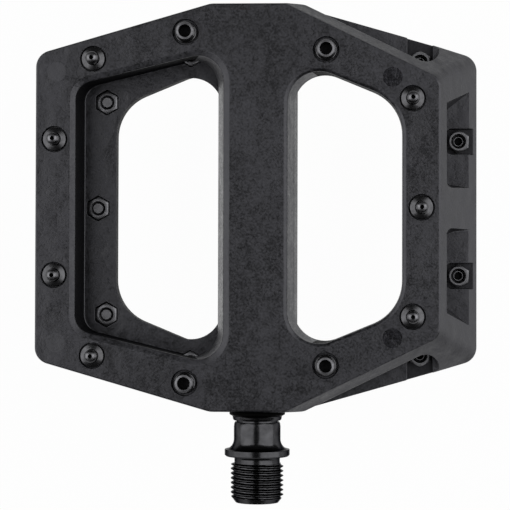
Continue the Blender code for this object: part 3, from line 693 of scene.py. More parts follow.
class PlatformCutters:
    """Draws the platform's slab and everything that is cut from it, in millimetres."""

    def __init__(self, sizes):
        self.width = sizes.half_width / MM
        self.length = sizes.half_length / MM
        self.thick = sizes.half_thick / MM
        self.rim = sizes.rim_round / MM
        self.crest = sizes.crest_round / MM
        self.slant_crest = sizes.slant_crest_round / MM
        curve = sizes.strip_round / MM
        self.well_strip = edge_strip(sizes.well_strip / MM, sizes.strip_fall / MM, curve)
        self.window_strip = edge_strip(sizes.window_strip / MM, sizes.strip_fall / MM, curve)
        self.foot = sizes.foot_round / MM
        self.ledge = sizes.ledge_round / MM
        self.mark = sizes.ejector_depth / MM

    def slab(self, bm):
        """Full outline, with its rims rounded."""
        corners = []
        for x_sign, y_sign in ((1, -1), (1, 1), (-1, 1), (-1, -1)):
            wide = (x_sign * self.width, y_sign * CORNER_Y, CORNER_RADIUS)
            end = (x_sign * END_HALF_WIDTH, y_sign * self.length, END_RADIUS)
            corners += [end, wide] if x_sign * y_sign < 0 else [wide, end]
        rim = quarter(self.rim, RIM_STEPS)
        upper = [(self.thick - self.rim + height, -setback) for height, setback in rim]
        levels = [(-z, setback) for z, setback in reversed(upper)] + upper
        loft(bm, [(z, rounded(grown(corners, setback))) for z, setback in levels])

    def chamfer_keep(self, bm):
        """What is left inside the long chamfer: sides that widen downwards, rounded at the crest."""
        slope = math.atan(CHAMFER_DROP)
        radii = (self.crest, self.slant_crest)

        def offset_at(z, radius):
            drop = self.thick - z
            if drop > radius * (1 - math.cos(slope)):
                return drop / CHAMFER_DROP
            return radius * math.sin(math.acos(1 - drop / radius)) - radius * math.tan(slope / 2)

        drops = [2 * self.thick + PAST, CREST_END_DROP]
        for radius in radii:
            drops += [radius * (1 - math.cos(slope * (1 - k / CREST_STEPS))) for k in range(CREST_STEPS)]
        levels = []
        for drop in sorted(drops, reverse=True):
            z = self.thick - drop
            levels.append((z, *(offset_at(z, radius) for radius in radii)))
        levels.append((self.thick + PAST, *levels[-1][1:]))
        far = self.width + self.length
        rings = []
        for z, rear_offset, slant_offset in levels:
            side_x = CHAMFER_X + rear_offset
            corner_y = chamfer_line_y(side_x, self.length, slant_offset)
            far_x = -self.width
            far_y = chamfer_line_y(far_x, self.length, slant_offset)
            rings.append((z, rounded((
                (side_x, -corner_y, CHAMFER_RADIUS),
                (side_x, corner_y, CHAMFER_RADIUS),
                (far_x, far_y, 0.0),
                (-far, far_y, 0.0),
                (-far, -far_y, 0.0),
                (far_x, -far_y, 0.0),
            ))))
        loft(bm, rings)

    def housing_x(self, z):
        """Half width of the spindle housing at a height: a straight flank, then the strip of the opening."""
        strip = self.well_strip if z > 0 else self.window_strip
        depth = self.thick - abs(z)
        low_fall, low_x = self.thick, HOUSING_HALF_WIDTH
        for fall, setback in strip:
            x = HOUSING_TOP_X + strip[-1][1] - setback
            if depth >= fall:
                return x + (low_x - x) * (depth - fall) / (low_fall - fall)
            low_fall, low_x = fall, x
        return HOUSING_TOP_X

    def wells(self, bm):
        """Sunk well of the front half: rounded foot, leaning wall, sloping strip along the upper edge."""
        foot_top = LEDGE_Z + self.foot
        wall_top = self.thick - self.well_strip[0][0]
        foot = reversed(quarter(self.foot, LEDGE_STEPS))
        levels = [(foot_top - height, -setback) for height, setback in foot]
        levels.append((0.0, 0.0))
        levels += [(self.thick - fall, setback) for fall, setback in self.well_strip]
        levels.append((self.thick + PAST, self.well_strip[-1][1]))
        rings = []
        for z, grow in levels:
            climb = min(max((z - foot_top) / (wall_top - foot_top), 0.0), 1.0)
            wall_x = BAR_WALL_FOOT_X + (BAR_WALL_X - BAR_WALL_FOOT_X) * climb
            radii = (BAR_RADIUS, BAR_HOUSING_RADIUS)
            inner_x = -self.housing_x(z)
            rings.append((z, gap_outline(inner_x, wall_x, BAR_SLANT_POINT, BAR_SLANT, radii, grow)))
        loft(bm, rings)

    def windows(self, bm):
        """Through window of the front half, from below the lower face up to the ledge."""
        levels = [(-self.thick - PAST, self.window_strip[-1][1])]
        levels += [(fall - self.thick, setback) for fall, setback in reversed(self.window_strip)]
        edge = LEDGE_Z - self.ledge
        levels += [(edge + height, setback) for height, setback in quarter(self.ledge, LEDGE_STEPS)]
        levels.append((LEDGE_Z + self.ledge, self.ledge))
        radii = (WINDOW_RADIUS, WINDOW_HOUSING_RADIUS)
        rings = []
        for z, grow in levels:
            # A hair into the housing at the ledge, so that no sliver of ledge is left along it
            bite = 0.0 if z < edge else FLANK_BITE if z < LEDGE_Z + self.ledge / 2 else -3 * FLANK_BITE
            inner_x = bite - self.housing_x(z)
            rings.append((z, gap_outline(inner_x, WINDOW_X, WINDOW_SLANT_POINT, WINDOW_SLANT, radii, grow)))
        loft(bm, rings)

    def pockets(self, bm):
        """Level-floored pockets in the long chamfer: two in the rear edge, two in the slanted sides."""
        top = self.thick + PAST
        past_x = self.width + PAST
        past_y = self.length + PAST

        def rear(z):
            draft = (POCKET_DRAFT_Z - z) * POCKET_DRAFT
            end_y = POCKET_END_Y + draft
            slant_y = POCKET_SLANT_Y - draft / math.cos(POCKET_SLANT)
            return rounded((
                (POCKET_X, end_y, POCKET_RADIUS),
                (past_x, end_y - POCKET_END_TILT * (past_x - POCKET_X), 0.0),
                (past_x, slant_y + math.tan(POCKET_SLANT) * (past_x - POCKET_X), 0.0),
                (POCKET_X, slant_y, 0.0),
            ))

        start_y = chamfer_line_y(SIDE_POCKET_START_X, self.length, CHAMFER_BAND)
        end_y = chamfer_line_y(SIDE_POCKET_END_X, self.length, CHAMFER_BAND)
        side = rounded((
            (SIDE_POCKET_START_X, start_y, 0.0),
            (SIDE_POCKET_END_X, end_y, SIDE_POCKET_RADIUS),
            (SIDE_POCKET_END_X, past_y, 0.0),
            (SIDE_POCKET_START_X, past_y, 0.0),
        ))
        for rings in (
            [(z, rear(z)) for z in (POCKET_FLOOR_Z, top)],
            [(z, side) for z in (POCKET_FLOOR_Z, top)],
        ):
            loft(bm, rings)
            loft(bm, [(z, [Vector((p.x, -p.y)) for p in reversed(outline)]) for z, outline in rings])

    def slots(self, bm):
        """Open-ended slots for the nuts of the other face's edge and corner pins."""
        past_x = self.width + PAST
        past_y = self.length + PAST
        for name, (x, y, _) in nut_seats("bottom").items():
            sign = math.copysign(1.0, y)
            y = abs(y)
            if name.startswith("edge"):
                outline = rounded((
                    (x - SLOT_HALF_WIDTH, y - SLOT_HALF_WIDTH, SLOT_RADIUS),
                    (past_x, y - SLOT_HALF_WIDTH, 0.0),
                    (past_x, y + SLOT_HALF_WIDTH, 0.0),
                    (x - SLOT_HALF_WIDTH, y + SLOT_HALF_WIDTH, SLOT_RADIUS),
                ))
            elif name.startswith("corner"):
                outline = rounded((
                    (x - SLOT_HALF_WIDTH, y - SLOT_HALF_WIDTH, SLOT_RADIUS),
                    (x + SLOT_HALF_WIDTH, y - SLOT_HALF_WIDTH, SLOT_RADIUS),
                    (x + SLOT_HALF_WIDTH, past_y, 0.0),
                    (x - SLOT_HALF_WIDTH, past_y, 0.0),
                ))
            else:
                continue
            if sign < 0:
                outline = [Vector((p.x, -p.y)) for p in reversed(outline)]
            loft(bm, [(SLOT_FLOOR_Z, outline), (SLOT_ROOF_Z, outline)])

    def nut_recesses(self, bm):
        """Hexagonal seats sunk in the ledge, with a low arch where the wall stands over the nut."""
        flats = bpy.context.scene.pedal_nuts.flats / MM + 2 * NUT_SEAT_GAP
        reach = flats / math.sqrt(3)
        angles = [math.pi / 2 + SECTOR * k for k in range(6)]
        for name, (x, y, seat) in nut_seats("bottom").items():
            if name in DRILLED_SITES:
                continue
            roof = SLOT_ROOF_Z if name.startswith("centre") else LEDGE_Z + PAST
            outline = [Vector((x + reach * math.cos(a), y + reach * math.sin(a))) for a in angles]
            loft(bm, [(seat - NUT_SEAT_GAP, outline), (roof, outline)])

    def pin_holes(self, bm):
        """Counterbores and clearance holes for every pin of the upper face."""
        seat = self.thick - COUNTERBORE_DEPTH
        for x, y in pin_places("top", FLANGED_SITES + DRILLED_SITES + SOCKET_SITES):
            rings = (
                (PIN_HOLE_RADIUS, PIN_HOLE_END_Z),
                (PIN_HOLE_RADIUS, seat),
                (COUNTERBORE_RADIUS, seat),
                (COUNTERBORE_RADIUS, self.thick + PAST),
            )
            bmesh.ops.translate(bm, vec=(x, y, 0.0), verts=spun(bm, rings, HOLE_STEPS))

    def ejector_marks(self, bm):
        """Shallow round marks of the mould's ejector pins."""
        for x, y in EJECTOR_SITES:
            rings = ((EJECTOR_RADIUS, self.thick - self.mark), (EJECTOR_RADIUS, self.thick + PAST))
            bmesh.ops.translate(bm, vec=(x, y, 0.0), verts=spun(bm, rings, HOLE_STEPS))

    def bore(self, bm):
        """Stepped bore along the spindle, with a lead-in at both ends of the housing."""
        end = self.length
        lead = BORE_LEAD_IN
        rings = (
            (BUSH_BORE_RADIUS + lead + PAST, -end - PAST),
            (BUSH_BORE_RADIUS, -end + lead),
            (BUSH_BORE_RADIUS, BUSH_SHOULDER_Y),
            (MIDDLE_BORE_RADIUS, BUSH_SHOULDER_Y),
            (MIDDLE_BORE_RADIUS, BEARING_BORE_Y),
            (BEARING_BORE_RADIUS, BEARING_BORE_Y),
            (BEARING_BORE_RADIUS, end - lead),
            (BEARING_BORE_RADIUS + lead + PAST, end + PAST),
        )
        verts = spun(bm, rings, BORE_STEPS)
        bmesh.ops.transform(bm, matrix=AXIS_TURN, verts=verts)


def pin_places(face, sites):
    """(x, y) of a face's pins, from the middle of the platform."""
    places = []
    for site in sites:
        low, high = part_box(f"pin_{face}_{site}")
        middle = (low + high) / 2 / MM
        places.append((middle.x, middle.y - PLATFORM_Y))
    return places


def nut_seats(face):
    """Site to (x, y, seat height) of the nuts that hold a face's pins."""
    seats = {}
    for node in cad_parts:
        if not node.startswith(f"nut_{face}_"):
            continue
        low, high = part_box(node)
        middle = (low + high) / 2 / MM
        seat = low.z if face == "bottom" else high.z
        seats[node.removeprefix(f"nut_{face}_")] = (middle.x, middle.y - PLATFORM_Y, seat / MM)
    return seats


def ejector_mark(point):
    """Ejector site whose mark holds a point of either face, or None."""
    x, y, z = point / MM
    for site in EJECTOR_SITES:
        if math.hypot(math.copysign(x, x * z) - site[0], y - site[1]) < EJECTOR_RADIUS + EJECTOR_MARGIN:
            return site
    return None


def cut(target, name, bm, operation="DIFFERENCE"):
    """Add a boolean with a solid that isn't shown."""
    cutter = add_object(name, as_mesh(name, bm))
    cutter.hide_render = True
    boolean = target.modifiers.new(name, "BOOLEAN")
    boolean.operation = operation
    boolean.solver = "EXACT"
    boolean.object = cutter
    return cutter


def moulded_blank(draw):
    """Mesh of the platform with everything cut from it, before its edges are broken."""
    bm = bmesh.new()
    draw.slab(bm)
    blank = add_object("platform_blank", as_mesh("platform_blank", bm))
    cutters = []
    for name, turned in (("upper_chamfer", False), ("lower_chamfer", True)):
        bm = bmesh.new()
        draw.chamfer_keep(bm)
        if turned:
            bmesh.ops.transform(bm, matrix=HALF_TURN, verts=bm.verts[:])
        cutters.append(cut(blank, name, bm, "INTERSECT"))
    for paint in (draw.wells, draw.windows, draw.pockets, draw.slots, draw.nut_recesses, draw.pin_holes,
                  draw.ejector_marks):
        bm = bmesh.new()
        paint(bm)
        copied = bmesh.ops.duplicate(bm, geom=bm.verts[:] + bm.edges[:] + bm.faces[:])
        verts = [item for item in copied["geom"] if isinstance(item, bmesh.types.BMVert)]
        bmesh.ops.transform(bm, matrix=HALF_TURN, verts=verts)
        cutters.append(cut(blank, paint.__name__, bm))
    bm = bmesh.new()
    draw.bore(bm)
    cutters.append(cut(blank, "spindle_bore", bm))
    mesh = applied(blank)
    for cutter in cutters:
        bpy.data.objects.remove(cutter)
    return mesh


def edges_broken(mesh, sizes):
    """Mesh of the platform with a small bevel on its edges and even shading."""
    bm = bmesh.new()
    bm.from_mesh(mesh)
    bmesh.ops.remove_doubles(bm, verts=bm.verts[:], dist=WELD)
    bmesh.ops.dissolve_limit(
        bm, angle_limit=FLAT_ANGLE, use_dissolve_boundaries=False, verts=bm.verts[:], edges=bm.edges[:]
    )
    broken = bm.edges.layers.float.new("bevel_weight_edge")
    for edge in bm.edges:
        # Edges that run out into a thin tip stay sharp, because a broken edge would reach past the tip
        tips = [loop for vert in edge.verts for loop in vert.link_loops if loop.calc_angle() < THIN_TIP]
        shallow = ejector_mark((edge.verts[0].co + edge.verts[1].co) / 2)
        edge[broken] = float(edge.calc_face_angle() > BREAK_ANGLE and not tips and not shallow)
    bm.to_mesh(mesh)
    bm.free()
    blank = add_object("platform_blank", mesh)
    soften = blank.modifiers.new("break_edges", "BEVEL")
    soften.width = sizes.break_edge
    soften.segments = BREAK_STEPS
    soften.limit_method = "WEIGHT"
    soften.use_clamp_overlap = False
    soften.miter_outer = "MITER_ARC"
    mesh = applied(blank)
    bm = bmesh.new()
    bm.from_mesh(mesh)
    bmesh.ops.dissolve_degenerate(bm, dist=MICRON / 2, edges=bm.edges[:])
    bm.to_mesh(mesh)
    bm.free()
    for vert in mesh.vertices:
        # The bevel may overshoot where three edges meet
        vert.co.y = max(-sizes.half_length, min(vert.co.y, sizes.half_length))
    mesh.shade_smooth()
    mesh.set_sharp_from_angle(angle=PLATFORM_SHARP)
    blank = add_object("platform_blank", mesh)
    shading = blank.modifiers.new("even_shading", "WEIGHTED_NORMAL")
    shading.keep_sharp = True
    shading.weight = 100
    return applied(blank)


def special_faces(mesh, draw):
    """Face index to the name of its finish, for faces of the platform that differ from the rest."""
    slot_nuts = {
        face: [(x, y) for site, (x, y, _) in nut_seats(face).items() if site in DRILLED_SITES]
        for face in ("top", "bottom")
    }
    marked = {}
    for face in mesh.polygons:
        x, y, z = face.center / MM
        away = min(math.hypot(x - at[0], y - at[1]) for at in slot_nuts["bottom" if z < 0 else "top"])
        # Floors and walls of the nut slots get a darker nylon with less sheen, which is painted shade in the
        # slots
        if away < SLOT_REACH and SLOT_FLOOR_Z - EDGE_TOUCH < -abs(z) < POCKET_FLOOR_Z - EDGE_TOUCH:
            marked[face.index] = "painted_shade_slot_nylon"
        across = Vector((math.copysign(GAP_MIDDLE_X, x) - x, -y)).dot(face.normal.xy)
        inside = WALL_NEAR_X < abs(x) < WALL_FAR_X and abs(y) < WALL_FAR_Y and abs(z) < WALL_FAR_Z
        # Walls of the wells get a darker nylon with little sheen, which is painted shade where the wells are
        # deep
        if inside and across > 0 and abs(face.normal.z) < WALL_RISE:
            marked[face.index] = "painted_shade_wall_nylon"
        site = ejector_mark(face.center)
        if site and abs(abs(z) - draw.thick + draw.mark) < draw.mark / 4:
            marked[face.index] = "ejector_polished_nylon" if site[0] > 0 else "ejector_dulled_nylon"
    return marked


class PEDAL_OT_platform(bpy.types.Operator):
    """Mould the platform: outline, chamfers, wells, windows, pockets, nut seats and pin holes"""
    bl_idname = "pedal.platform"
    bl_label = "Moulded Platform"

    def execute(self, context):
        sizes = context.scene.pedal_platform
        finishes = context.scene.pedal_finishes
        draw = PlatformCutters(sizes)
        mesh = edges_broken(moulded_blank(draw), sizes)
        marked = special_faces(mesh, draw)
        mesh.transform(Matrix.Translation((0.0, PLATFORM_Y * MM, 0.0)))
        nylon = moulded_nylon("moulded_glass_nylon", finishes)
        piece = show("platform_moulding", mesh, nylon, "platform", ["platform_body"], sharp=None)
        # The darker wall and slot nylons are painted shade; the ejector marks get finishes of their own
        for name in ("ejector_polished_nylon", "ejector_dulled_nylon", "painted_shade_wall_nylon", "painted_shade_slot_nylon"):
            mesh.materials.append(moulded_nylon(name, finishes))
        for index, name in marked.items():
            mesh.polygons[index].material_index = mesh.materials.find(name)
        return {"FINISHED"}


def new_tree(name, lengths):
    """Geometry node tree that takes points, lengths, a seed and a finish, with its inputs."""
    tree = bpy.data.node_groups.new(name, "GeometryNodeTree")
    sockets = [("Geometry", "OUTPUT", "Geometry"), ("Geometry", "INPUT", "Geometry")]
    sockets += [(label, "INPUT", "Float") for label in lengths]
    sockets += [("Seed", "INPUT", "Int"), ("Finish", "INPUT", "Material")]
    for label, side, kind in sockets:
        tree.interface.new_socket(label, in_out=side, socket_type=f"NodeSocket{kind}")
    return tree, add(tree, "NodeGroupInput").outputs


def unrolled(tree, rows, steps):
    """Flat sheet to be wrapped round an axis, with each point's angle and row."""
    sheet = add(tree, "GeometryNodeMeshGrid", {
        "Size X": 1.0, "Size Y": 1.0, "Vertices X": steps + 1, "Vertices Y": rows,
    }).outputs[0]
    place = add(tree, "GeometryNodeInputPosition").outputs[0]
    spread = add(tree, "ShaderNodeSeparateXYZ", {0: place}).outputs
    angle = ranged(tree, spread["X"], -0.5, 0.5, 0.0, math.tau)
    row = maths(tree, "ROUND", ranged(tree, spread["Y"], -0.5, 0.5, 0.0, rows - 1))
    return sheet, angle, row


def picked(tree, index, entries):
    """Output of the (value, shift) entry that an index picks."""
    chosen = add(tree, "GeometryNodeIndexSwitch", data_type="FLOAT")
    while len(chosen.index_switch_items) < len(entries):
        chosen.index_switch_items.new()
    tree.links.new(index, chosen.inputs["Index"])
    for place, entry in enumerate(entries):
        tree.links.new(maths(tree, "ADD", *entry), chosen.inputs[place + 1])
    return chosen.outputs[0]


def flat_cosine(tree, angle):
    """Cosine of the angle from the middle of a hexagon's nearest flat. The first flat lies along X."""
    shifted = maths(tree, "ADD", angle, SECTOR / 2)
    folded = maths(tree, "FLOORED_MODULO", shifted, SECTOR)
    return maths(tree, "COSINE", maths(tree, "SUBTRACT", folded, SECTOR / 2))


def stand_on_points(tree, given, sheet, angle, radius, height):
    """End of a tree: a sheet wrapped round its axis stands on each point, face up or turned over, with a
    chance turn about its own axis."""
    x = maths(tree, "MULTIPLY", radius, maths(tree, "COSINE", angle))
    y = maths(tree, "MULTIPLY", radius, maths(tree, "SINE", angle))
    spot = add(tree, "ShaderNodeCombineXYZ", {0: x, 1: y, 2: height}).outputs[0]
    wrapped = add(tree, "GeometryNodeSetPosition", {"Geometry": sheet, "Position": spot}).outputs[0]
    shape = add(tree, "GeometryNodeMergeByDistance", {"Geometry": wrapped, "Distance": 2 * MICRON}).outputs[0]
    turned = add(tree, "GeometryNodeInputNamedAttribute", {"Name": "turn"}, data_type="FLOAT").outputs[0]
    over = add(tree, "ShaderNodeCombineXYZ", {1: turned}).outputs[0]
    stood = add(tree, "GeometryNodeInstanceOnPoints", {
        "Points": given["Geometry"], "Instance": shape, "Rotation": over,
    }).outputs[0]
    spin = add(tree, "GeometryNodeInputNamedAttribute", {"Name": "spin"}, data_type="FLOAT").outputs[0]
    chance = add(tree, "FunctionNodeRandomValue", {2: -math.pi, 3: math.pi, "Seed": given["Seed"]}).outputs[1]
    about = add(tree, "ShaderNodeCombineXYZ", {2: maths(tree, "MULTIPLY", chance, spin)}).outputs[0]
    twisted = add(tree, "GeometryNodeRotateInstances", {"Instances": stood, "Rotation": about}).outputs[0]
    real = add(tree, "GeometryNodeRealizeInstances", {"Geometry": twisted}).outputs[0]
    dressed = add(tree, "GeometryNodeSetMaterial", {"Geometry": real, "Material": given["Finish"]}).outputs[0]
    add(tree, "NodeGroupOutput", {0: dressed})


def pin_tree():
    """Node tree of a threaded pin on every point it is given, with a key socket in its tip and perhaps a
    round one in its end."""
    tree, given = new_tree("traction_pin", (
        "Shank end", "Shank radius", "Seat", "Flange radius", "Flange top", "Cone rise", "Post radius",
        "Post top", "Tip", "Tip radius", "Tip fall", "Sink radius", "Socket flats", "Socket top",
        "Socket floor", "Pitch", "Thread depth", "End socket", "End floor",
    ))
    edge = PIN_EDGE * MM
    shank, shank_end, seat = given["Shank radius"], given["Shank end"], given["Seat"]
    flange, flange_top = given["Flange radius"], given["Flange top"]
    post, post_top = given["Post radius"], given["Post top"]
    # The flange is a cone that swells a little half way up
    mid_cone = blend(tree, 0.5, flange, post)
    mid_z = maths(tree, "SUBTRACT", flange_top, maths(tree, "MULTIPLY", given["Cone rise"], CONE_SWELL))
    rim_z = maths(tree, "SUBTRACT", flange_top, given["Cone rise"])
    tip_z = maths(tree, "SUBTRACT", given["Tip"], given["Tip fall"])
    socket = maths(tree, "MULTIPLY", given["Socket flats"], 0.5)
    # Each station is a radius and a height, each with a small shift that breaks an edge
    stations = (
        (0.0, 0.0, given["End floor"], 0.0),
        (given["End socket"], 0.0, given["End floor"], 0.0),
        (given["End socket"], 0.0, shank_end, 0.0),
        (shank, -edge, shank_end, 0.0),
        (shank, 0.0, shank_end, edge),
        (shank, 0.0, seat, 0.0),
        (flange, -edge, seat, 0.0),
        (flange, 0.0, seat, edge),
        (flange, 0.0, rim_z, -edge),
        (flange, -edge / 2, rim_z, 0.0),
        (mid_cone, 0.0, mid_z, 0.0),
        (post, edge / 2, flange_top, 0.0),
        (post, 0.0, flange_top, -edge),
        (post, 0.0, post_top, 0.0),
        (given["Tip radius"], 0.0, tip_z, 0.0),
        (given["Sink radius"], 0.0, given["Tip"], 0.0),
        (socket, 0.0, given["Socket top"], 0.0),
        (socket, 0.0, given["Socket floor"], 0.0),
        (0.0, 0.0, given["Socket floor"], -edge),
    )
    sheet, angle, row = unrolled(tree, len(stations) + THREAD_ROWS - 1, PIN_STEPS)
    # The station where the post starts is drawn out into the rows of the thread
    before = maths(tree, "MINIMUM", row, THREAD_STATION)
    past = maths(tree, "SUBTRACT", row, THREAD_STATION + THREAD_ROWS - 1)
    station = maths(tree, "ADD", before, maths(tree, "MAXIMUM", past, 0.0))
    radius = picked(tree, station, [entry[:2] for entry in stations])
    height = picked(tree, station, [entry[2:] for entry in stations])
    at_post = maths(tree, "COMPARE", station, THREAD_STATION, 0.5)
    up_thread = ranged(tree, row, THREAD_STATION, THREAD_STATION + THREAD_ROWS, 0.0, 1.0)
    post_length = maths(tree, "SUBTRACT", post_top, maths(tree, "SUBTRACT", flange_top, edge))
    height = maths(tree, "MULTIPLY_ADD", maths(tree, "MULTIPLY", post_length, up_thread), at_post, height)
    turns = maths(tree, "DIVIDE", height, given["Pitch"])
    phase = maths(tree, "SUBTRACT", turns, maths(tree, "DIVIDE", angle, math.tau))
    groove = ranged(tree, maths(tree, "PINGPONG", phase, 0.5), CREST_END, ROOT_START, 0.0, 1.0)
    deep = maths(tree, "MULTIPLY", groove, given["Thread depth"])
    radius = maths(tree, "SUBTRACT", radius, maths(tree, "MULTIPLY", deep, at_post))
    # The last three stations are the six-sided socket
    in_socket = maths(tree, "GREATER_THAN", station, len(stations) - 3.5)
    radius = blend(tree, in_socket, radius, maths(tree, "DIVIDE", radius, flat_cosine(tree, angle)))
    stand_on_points(tree, given, sheet, angle, radius, height)
    return tree


def set_on_sites(name, tree, sites, values, finish):
    """Plain mesh of a tree's shape standing on every (x, y, z, turn, spin) site, in millimetres."""
    mesh = bpy.data.meshes.new(name)
    places = [Vector((x, y + PLATFORM_Y, z)) * MM for x, y, z, _, _ in sites]
    mesh.from_pydata(places, [], [])
    for attribute, column in (("turn", 3), ("spin", 4)):
        layer = mesh.attributes.new(attribute, "FLOAT", "POINT")
        layer.data.foreach_set("value", [site[column] for site in sites])
    item = add_object(name, mesh)
    modifier = item.modifiers.new(name, "NODES")
    modifier.node_group = tree
    wanted = dict(values, Seed=bpy.context.scene.pedal_stage.seed, Finish=finish)
    for socket in tree.interface.items_tree:
        if socket.in_out == "INPUT" and socket.name in wanted:
            modifier[socket.identifier] = wanted[socket.name]
    made = applied(item)
    bm = bmesh.new()
    bm.from_mesh(made)
    bmesh.ops.dissolve_degenerate(bm, dist=MICRON, edges=bm.edges[:])
    bmesh.ops.recalc_face_normals(bm, faces=bm.faces[:])
    bm.to_mesh(made)
    bm.free()
    return made


def off_axis(point, sites):
    """Distance of a point from the nearest of some pins' or nuts' axes."""
    return min(math.hypot(point.x - x * MM, point.y - (y + PLATFORM_Y) * MM) for x, y, *_ in sites)


class PEDAL_OT_pins(bpy.types.Operator):
    """Set the flanged and the socket-head traction pins in both faces"""
    bl_idname = "pedal.pins"
    bl_label = "Traction Pins"

    def execute(self, context):
        sizes = context.scene.pedal_pins
        finishes = context.scene.pedal_finishes
        steel = oxide_steel("black_oxide_turned_steel", finishes.pin_steel, smooth=0.22, rough=0.32)
        sheared = oxide_steel("sheared_end_steel", finishes.nut_steel, smooth=0.34, rough=0.5)
        unworn = oxide_steel("unworn_oxide_steel", finishes.recess_steel, smooth=0.5, rough=0.6)
        tree = pin_tree()
        low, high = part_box("pin_top_corner_out")
        seat = PLATFORM_HIGH.z - COUNTERBORE_DEPTH * MM
        shared = {
            "Shank end": low.z,
            "Shank radius": PIN_SHANK_RADIUS * MM,
            "Seat": seat,
            "End socket": 0.0,
            "End floor": low.z,
        }
        flanged = dict(shared, **{
            "Flange radius": sizes.flange_radius,
            "Flange top": sizes.flange_top,
            "Cone rise": sizes.cone_rise,
            "Post radius": sizes.post_radius,
            "Post top": high.z - POST_CHAMFER * MM,
            "Tip": high.z,
            "Tip radius": sizes.tip_radius,
            "Tip fall": sizes.tip_fall,
            "Sink radius": sizes.tip_hole * TIP_SINK_SHARE,
            "Socket flats": sizes.tip_hole,
            "Socket top": high.z - TIP_SINK_DEPTH * MM,
            "Socket floor": high.z - TIP_SOCKET_DEPTH * MM,
            "Pitch": sizes.post_pitch,
            "Thread depth": POST_THREAD_DEPTH * MM,
        })
        drilled = dict(flanged, **{"End socket": sizes.end_hole, "End floor": low.z + sizes.end_depth})
        low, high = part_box("pin_top_centre_out")
        socketed = dict(shared, **{
            "Flange radius": sizes.socket_radius + SOCKET_FLANGE_WIDTH * MM,
            "Flange top": seat + SOCKET_FLANGE_RISE * MM,
            "Cone rise": SOCKET_CONE_RISE * MM,
            "Post radius": sizes.socket_radius,
            "Post top": high.z - SOCKET_CHAMFER * MM,
            "Tip": high.z,
            "Tip radius": sizes.socket_radius - SOCKET_TIP_SETBACK * MM,
            "Tip fall": SOCKET_TIP_FALL * MM,
            "Sink radius": sizes.socket_radius - SOCKET_SINK_SETBACK * MM,
            "Socket flats": sizes.socket_flats,
            "Socket top": high.z - SOCKET_SINK_DEPTH * MM,
            "Socket floor": high.z - SOCKET_DEPTH * MM,
            "Pitch": sizes.socket_pitch,
            "Thread depth": SOCKET_THREAD_DEPTH * MM,
        })
        for name, names, values in (
            ("flanged_pins", FLANGED_SITES, flanged),
            ("drilled_pins", DRILLED_SITES, drilled),
            ("socket_pins", SOCKET_SITES, socketed),
        ):
            sites = []
            nodes = []
            for face, turn in (("top", 0.0), ("bottom", math.pi)):
                sites += [(x, y, 0.0, turn, 1.0) for x, y in pin_places(face, names)]
                nodes += [f"pin_{face}_{site}" for site in names]
            mesh = set_on_sites(name, tree, sites, values, steel)
            show(name, mesh, steel, "platform", nodes)
            mesh.materials.append(sheared)
            mesh.materials.append(unworn)
            touch = EDGE_TOUCH * MM
            key_reach = values["Socket flats"] / math.sqrt(3.0) + touch
            key_floor = values["Socket floor"] - SOCKET_MARGIN * MM
            for face in mesh.polygons:
                level = abs(face.center.z)
                off = off_axis(face.center, sites)
                in_key = off < key_reach and level > key_floor
                in_end = off < values["End socket"] + touch and level < values["End floor"] + touch
                tip = level > values["Tip"] - values["Tip fall"]
                end = abs(level - abs(values["Shank end"])) < touch
                if in_key or in_end:
                    face.material_index = mesh.materials.find(unworn.name)
                elif (tip or end) and abs(face.normal.z) > FACING:
                    face.material_index = mesh.materials.find(sheared.name)
        return {"FINISHED"}


def nut_tree(name, collared):
    """Node tree of a chamfered hexagon nut on every point it is given. A collared one is round above its
    hexagon, with a locking insert."""
    lengths = ["Flats", "Height", "Face radius", "Bore radius", "Sink radius", "Sink depth"]
    if collared:
        lengths += ["Collar radius", "Collar height", "Insert radius", "Insert drop"]
    tree, given = new_tree(name, lengths)
    sheet, angle, row = unrolled(tree, LOCKING_NUT_ROWS if collared else NUT_ROWS, NUT_STEPS)
    apothem = maths(tree, "MULTIPLY", given["Flats"], 0.5)
    reach = maths(tree, "DIVIDE", apothem, flat_cosine(tree, angle))
    over = maths(tree, "SUBTRACT", reach, given["Face radius"])
    fall = maths(tree, "MULTIPLY", over, math.tan(NUT_CHAMFER))
    bore, sink, face = given["Bore radius"], given["Sink radius"], given["Face radius"]
    top, depth = given["Height"], given["Sink depth"]
    # Radius and height of each row, from the foot of the bore up, over the top and down the outside
    if collared:
        insert, collar = given["Insert radius"], given["Collar radius"]
        lip = maths(tree, "SUBTRACT", collar, COLLAR_EDGE * MM)
        brow = maths(tree, "SUBTRACT", top, COLLAR_EDGE * MM)
        insert_z = maths(tree, "SUBTRACT", top, given["Insert drop"])
        mouth_z = maths(tree, "SUBTRACT", insert_z, depth)
        shoulder_z = maths(tree, "SUBTRACT", top, given["Collar height"])
        hexagon_z = maths(tree, "SUBTRACT", shoulder_z, fall)
        profile = [
            (bore, depth), (bore, mouth_z), (sink, insert_z), (insert, insert_z), (insert, top), (lip, top),
            (collar, brow), (collar, shoulder_z), (reach, hexagon_z),
        ]
    else:
        sink_z = maths(tree, "SUBTRACT", top, depth)
        corner_z = maths(tree, "SUBTRACT", top, fall)
        profile = [(bore, depth), (bore, sink_z), (sink, top), (face, top), (reach, corner_z)]
    profile += [(reach, fall), (face, 0.0), (sink, 0.0), (bore, depth)]
    radius = picked(tree, row, [(reached, 0.0) for reached, _ in profile])
    height = picked(tree, row, [(level, 0.0) for _, level in profile])
    stand_on_points(tree, given, sheet, angle, radius, height)
    return tree


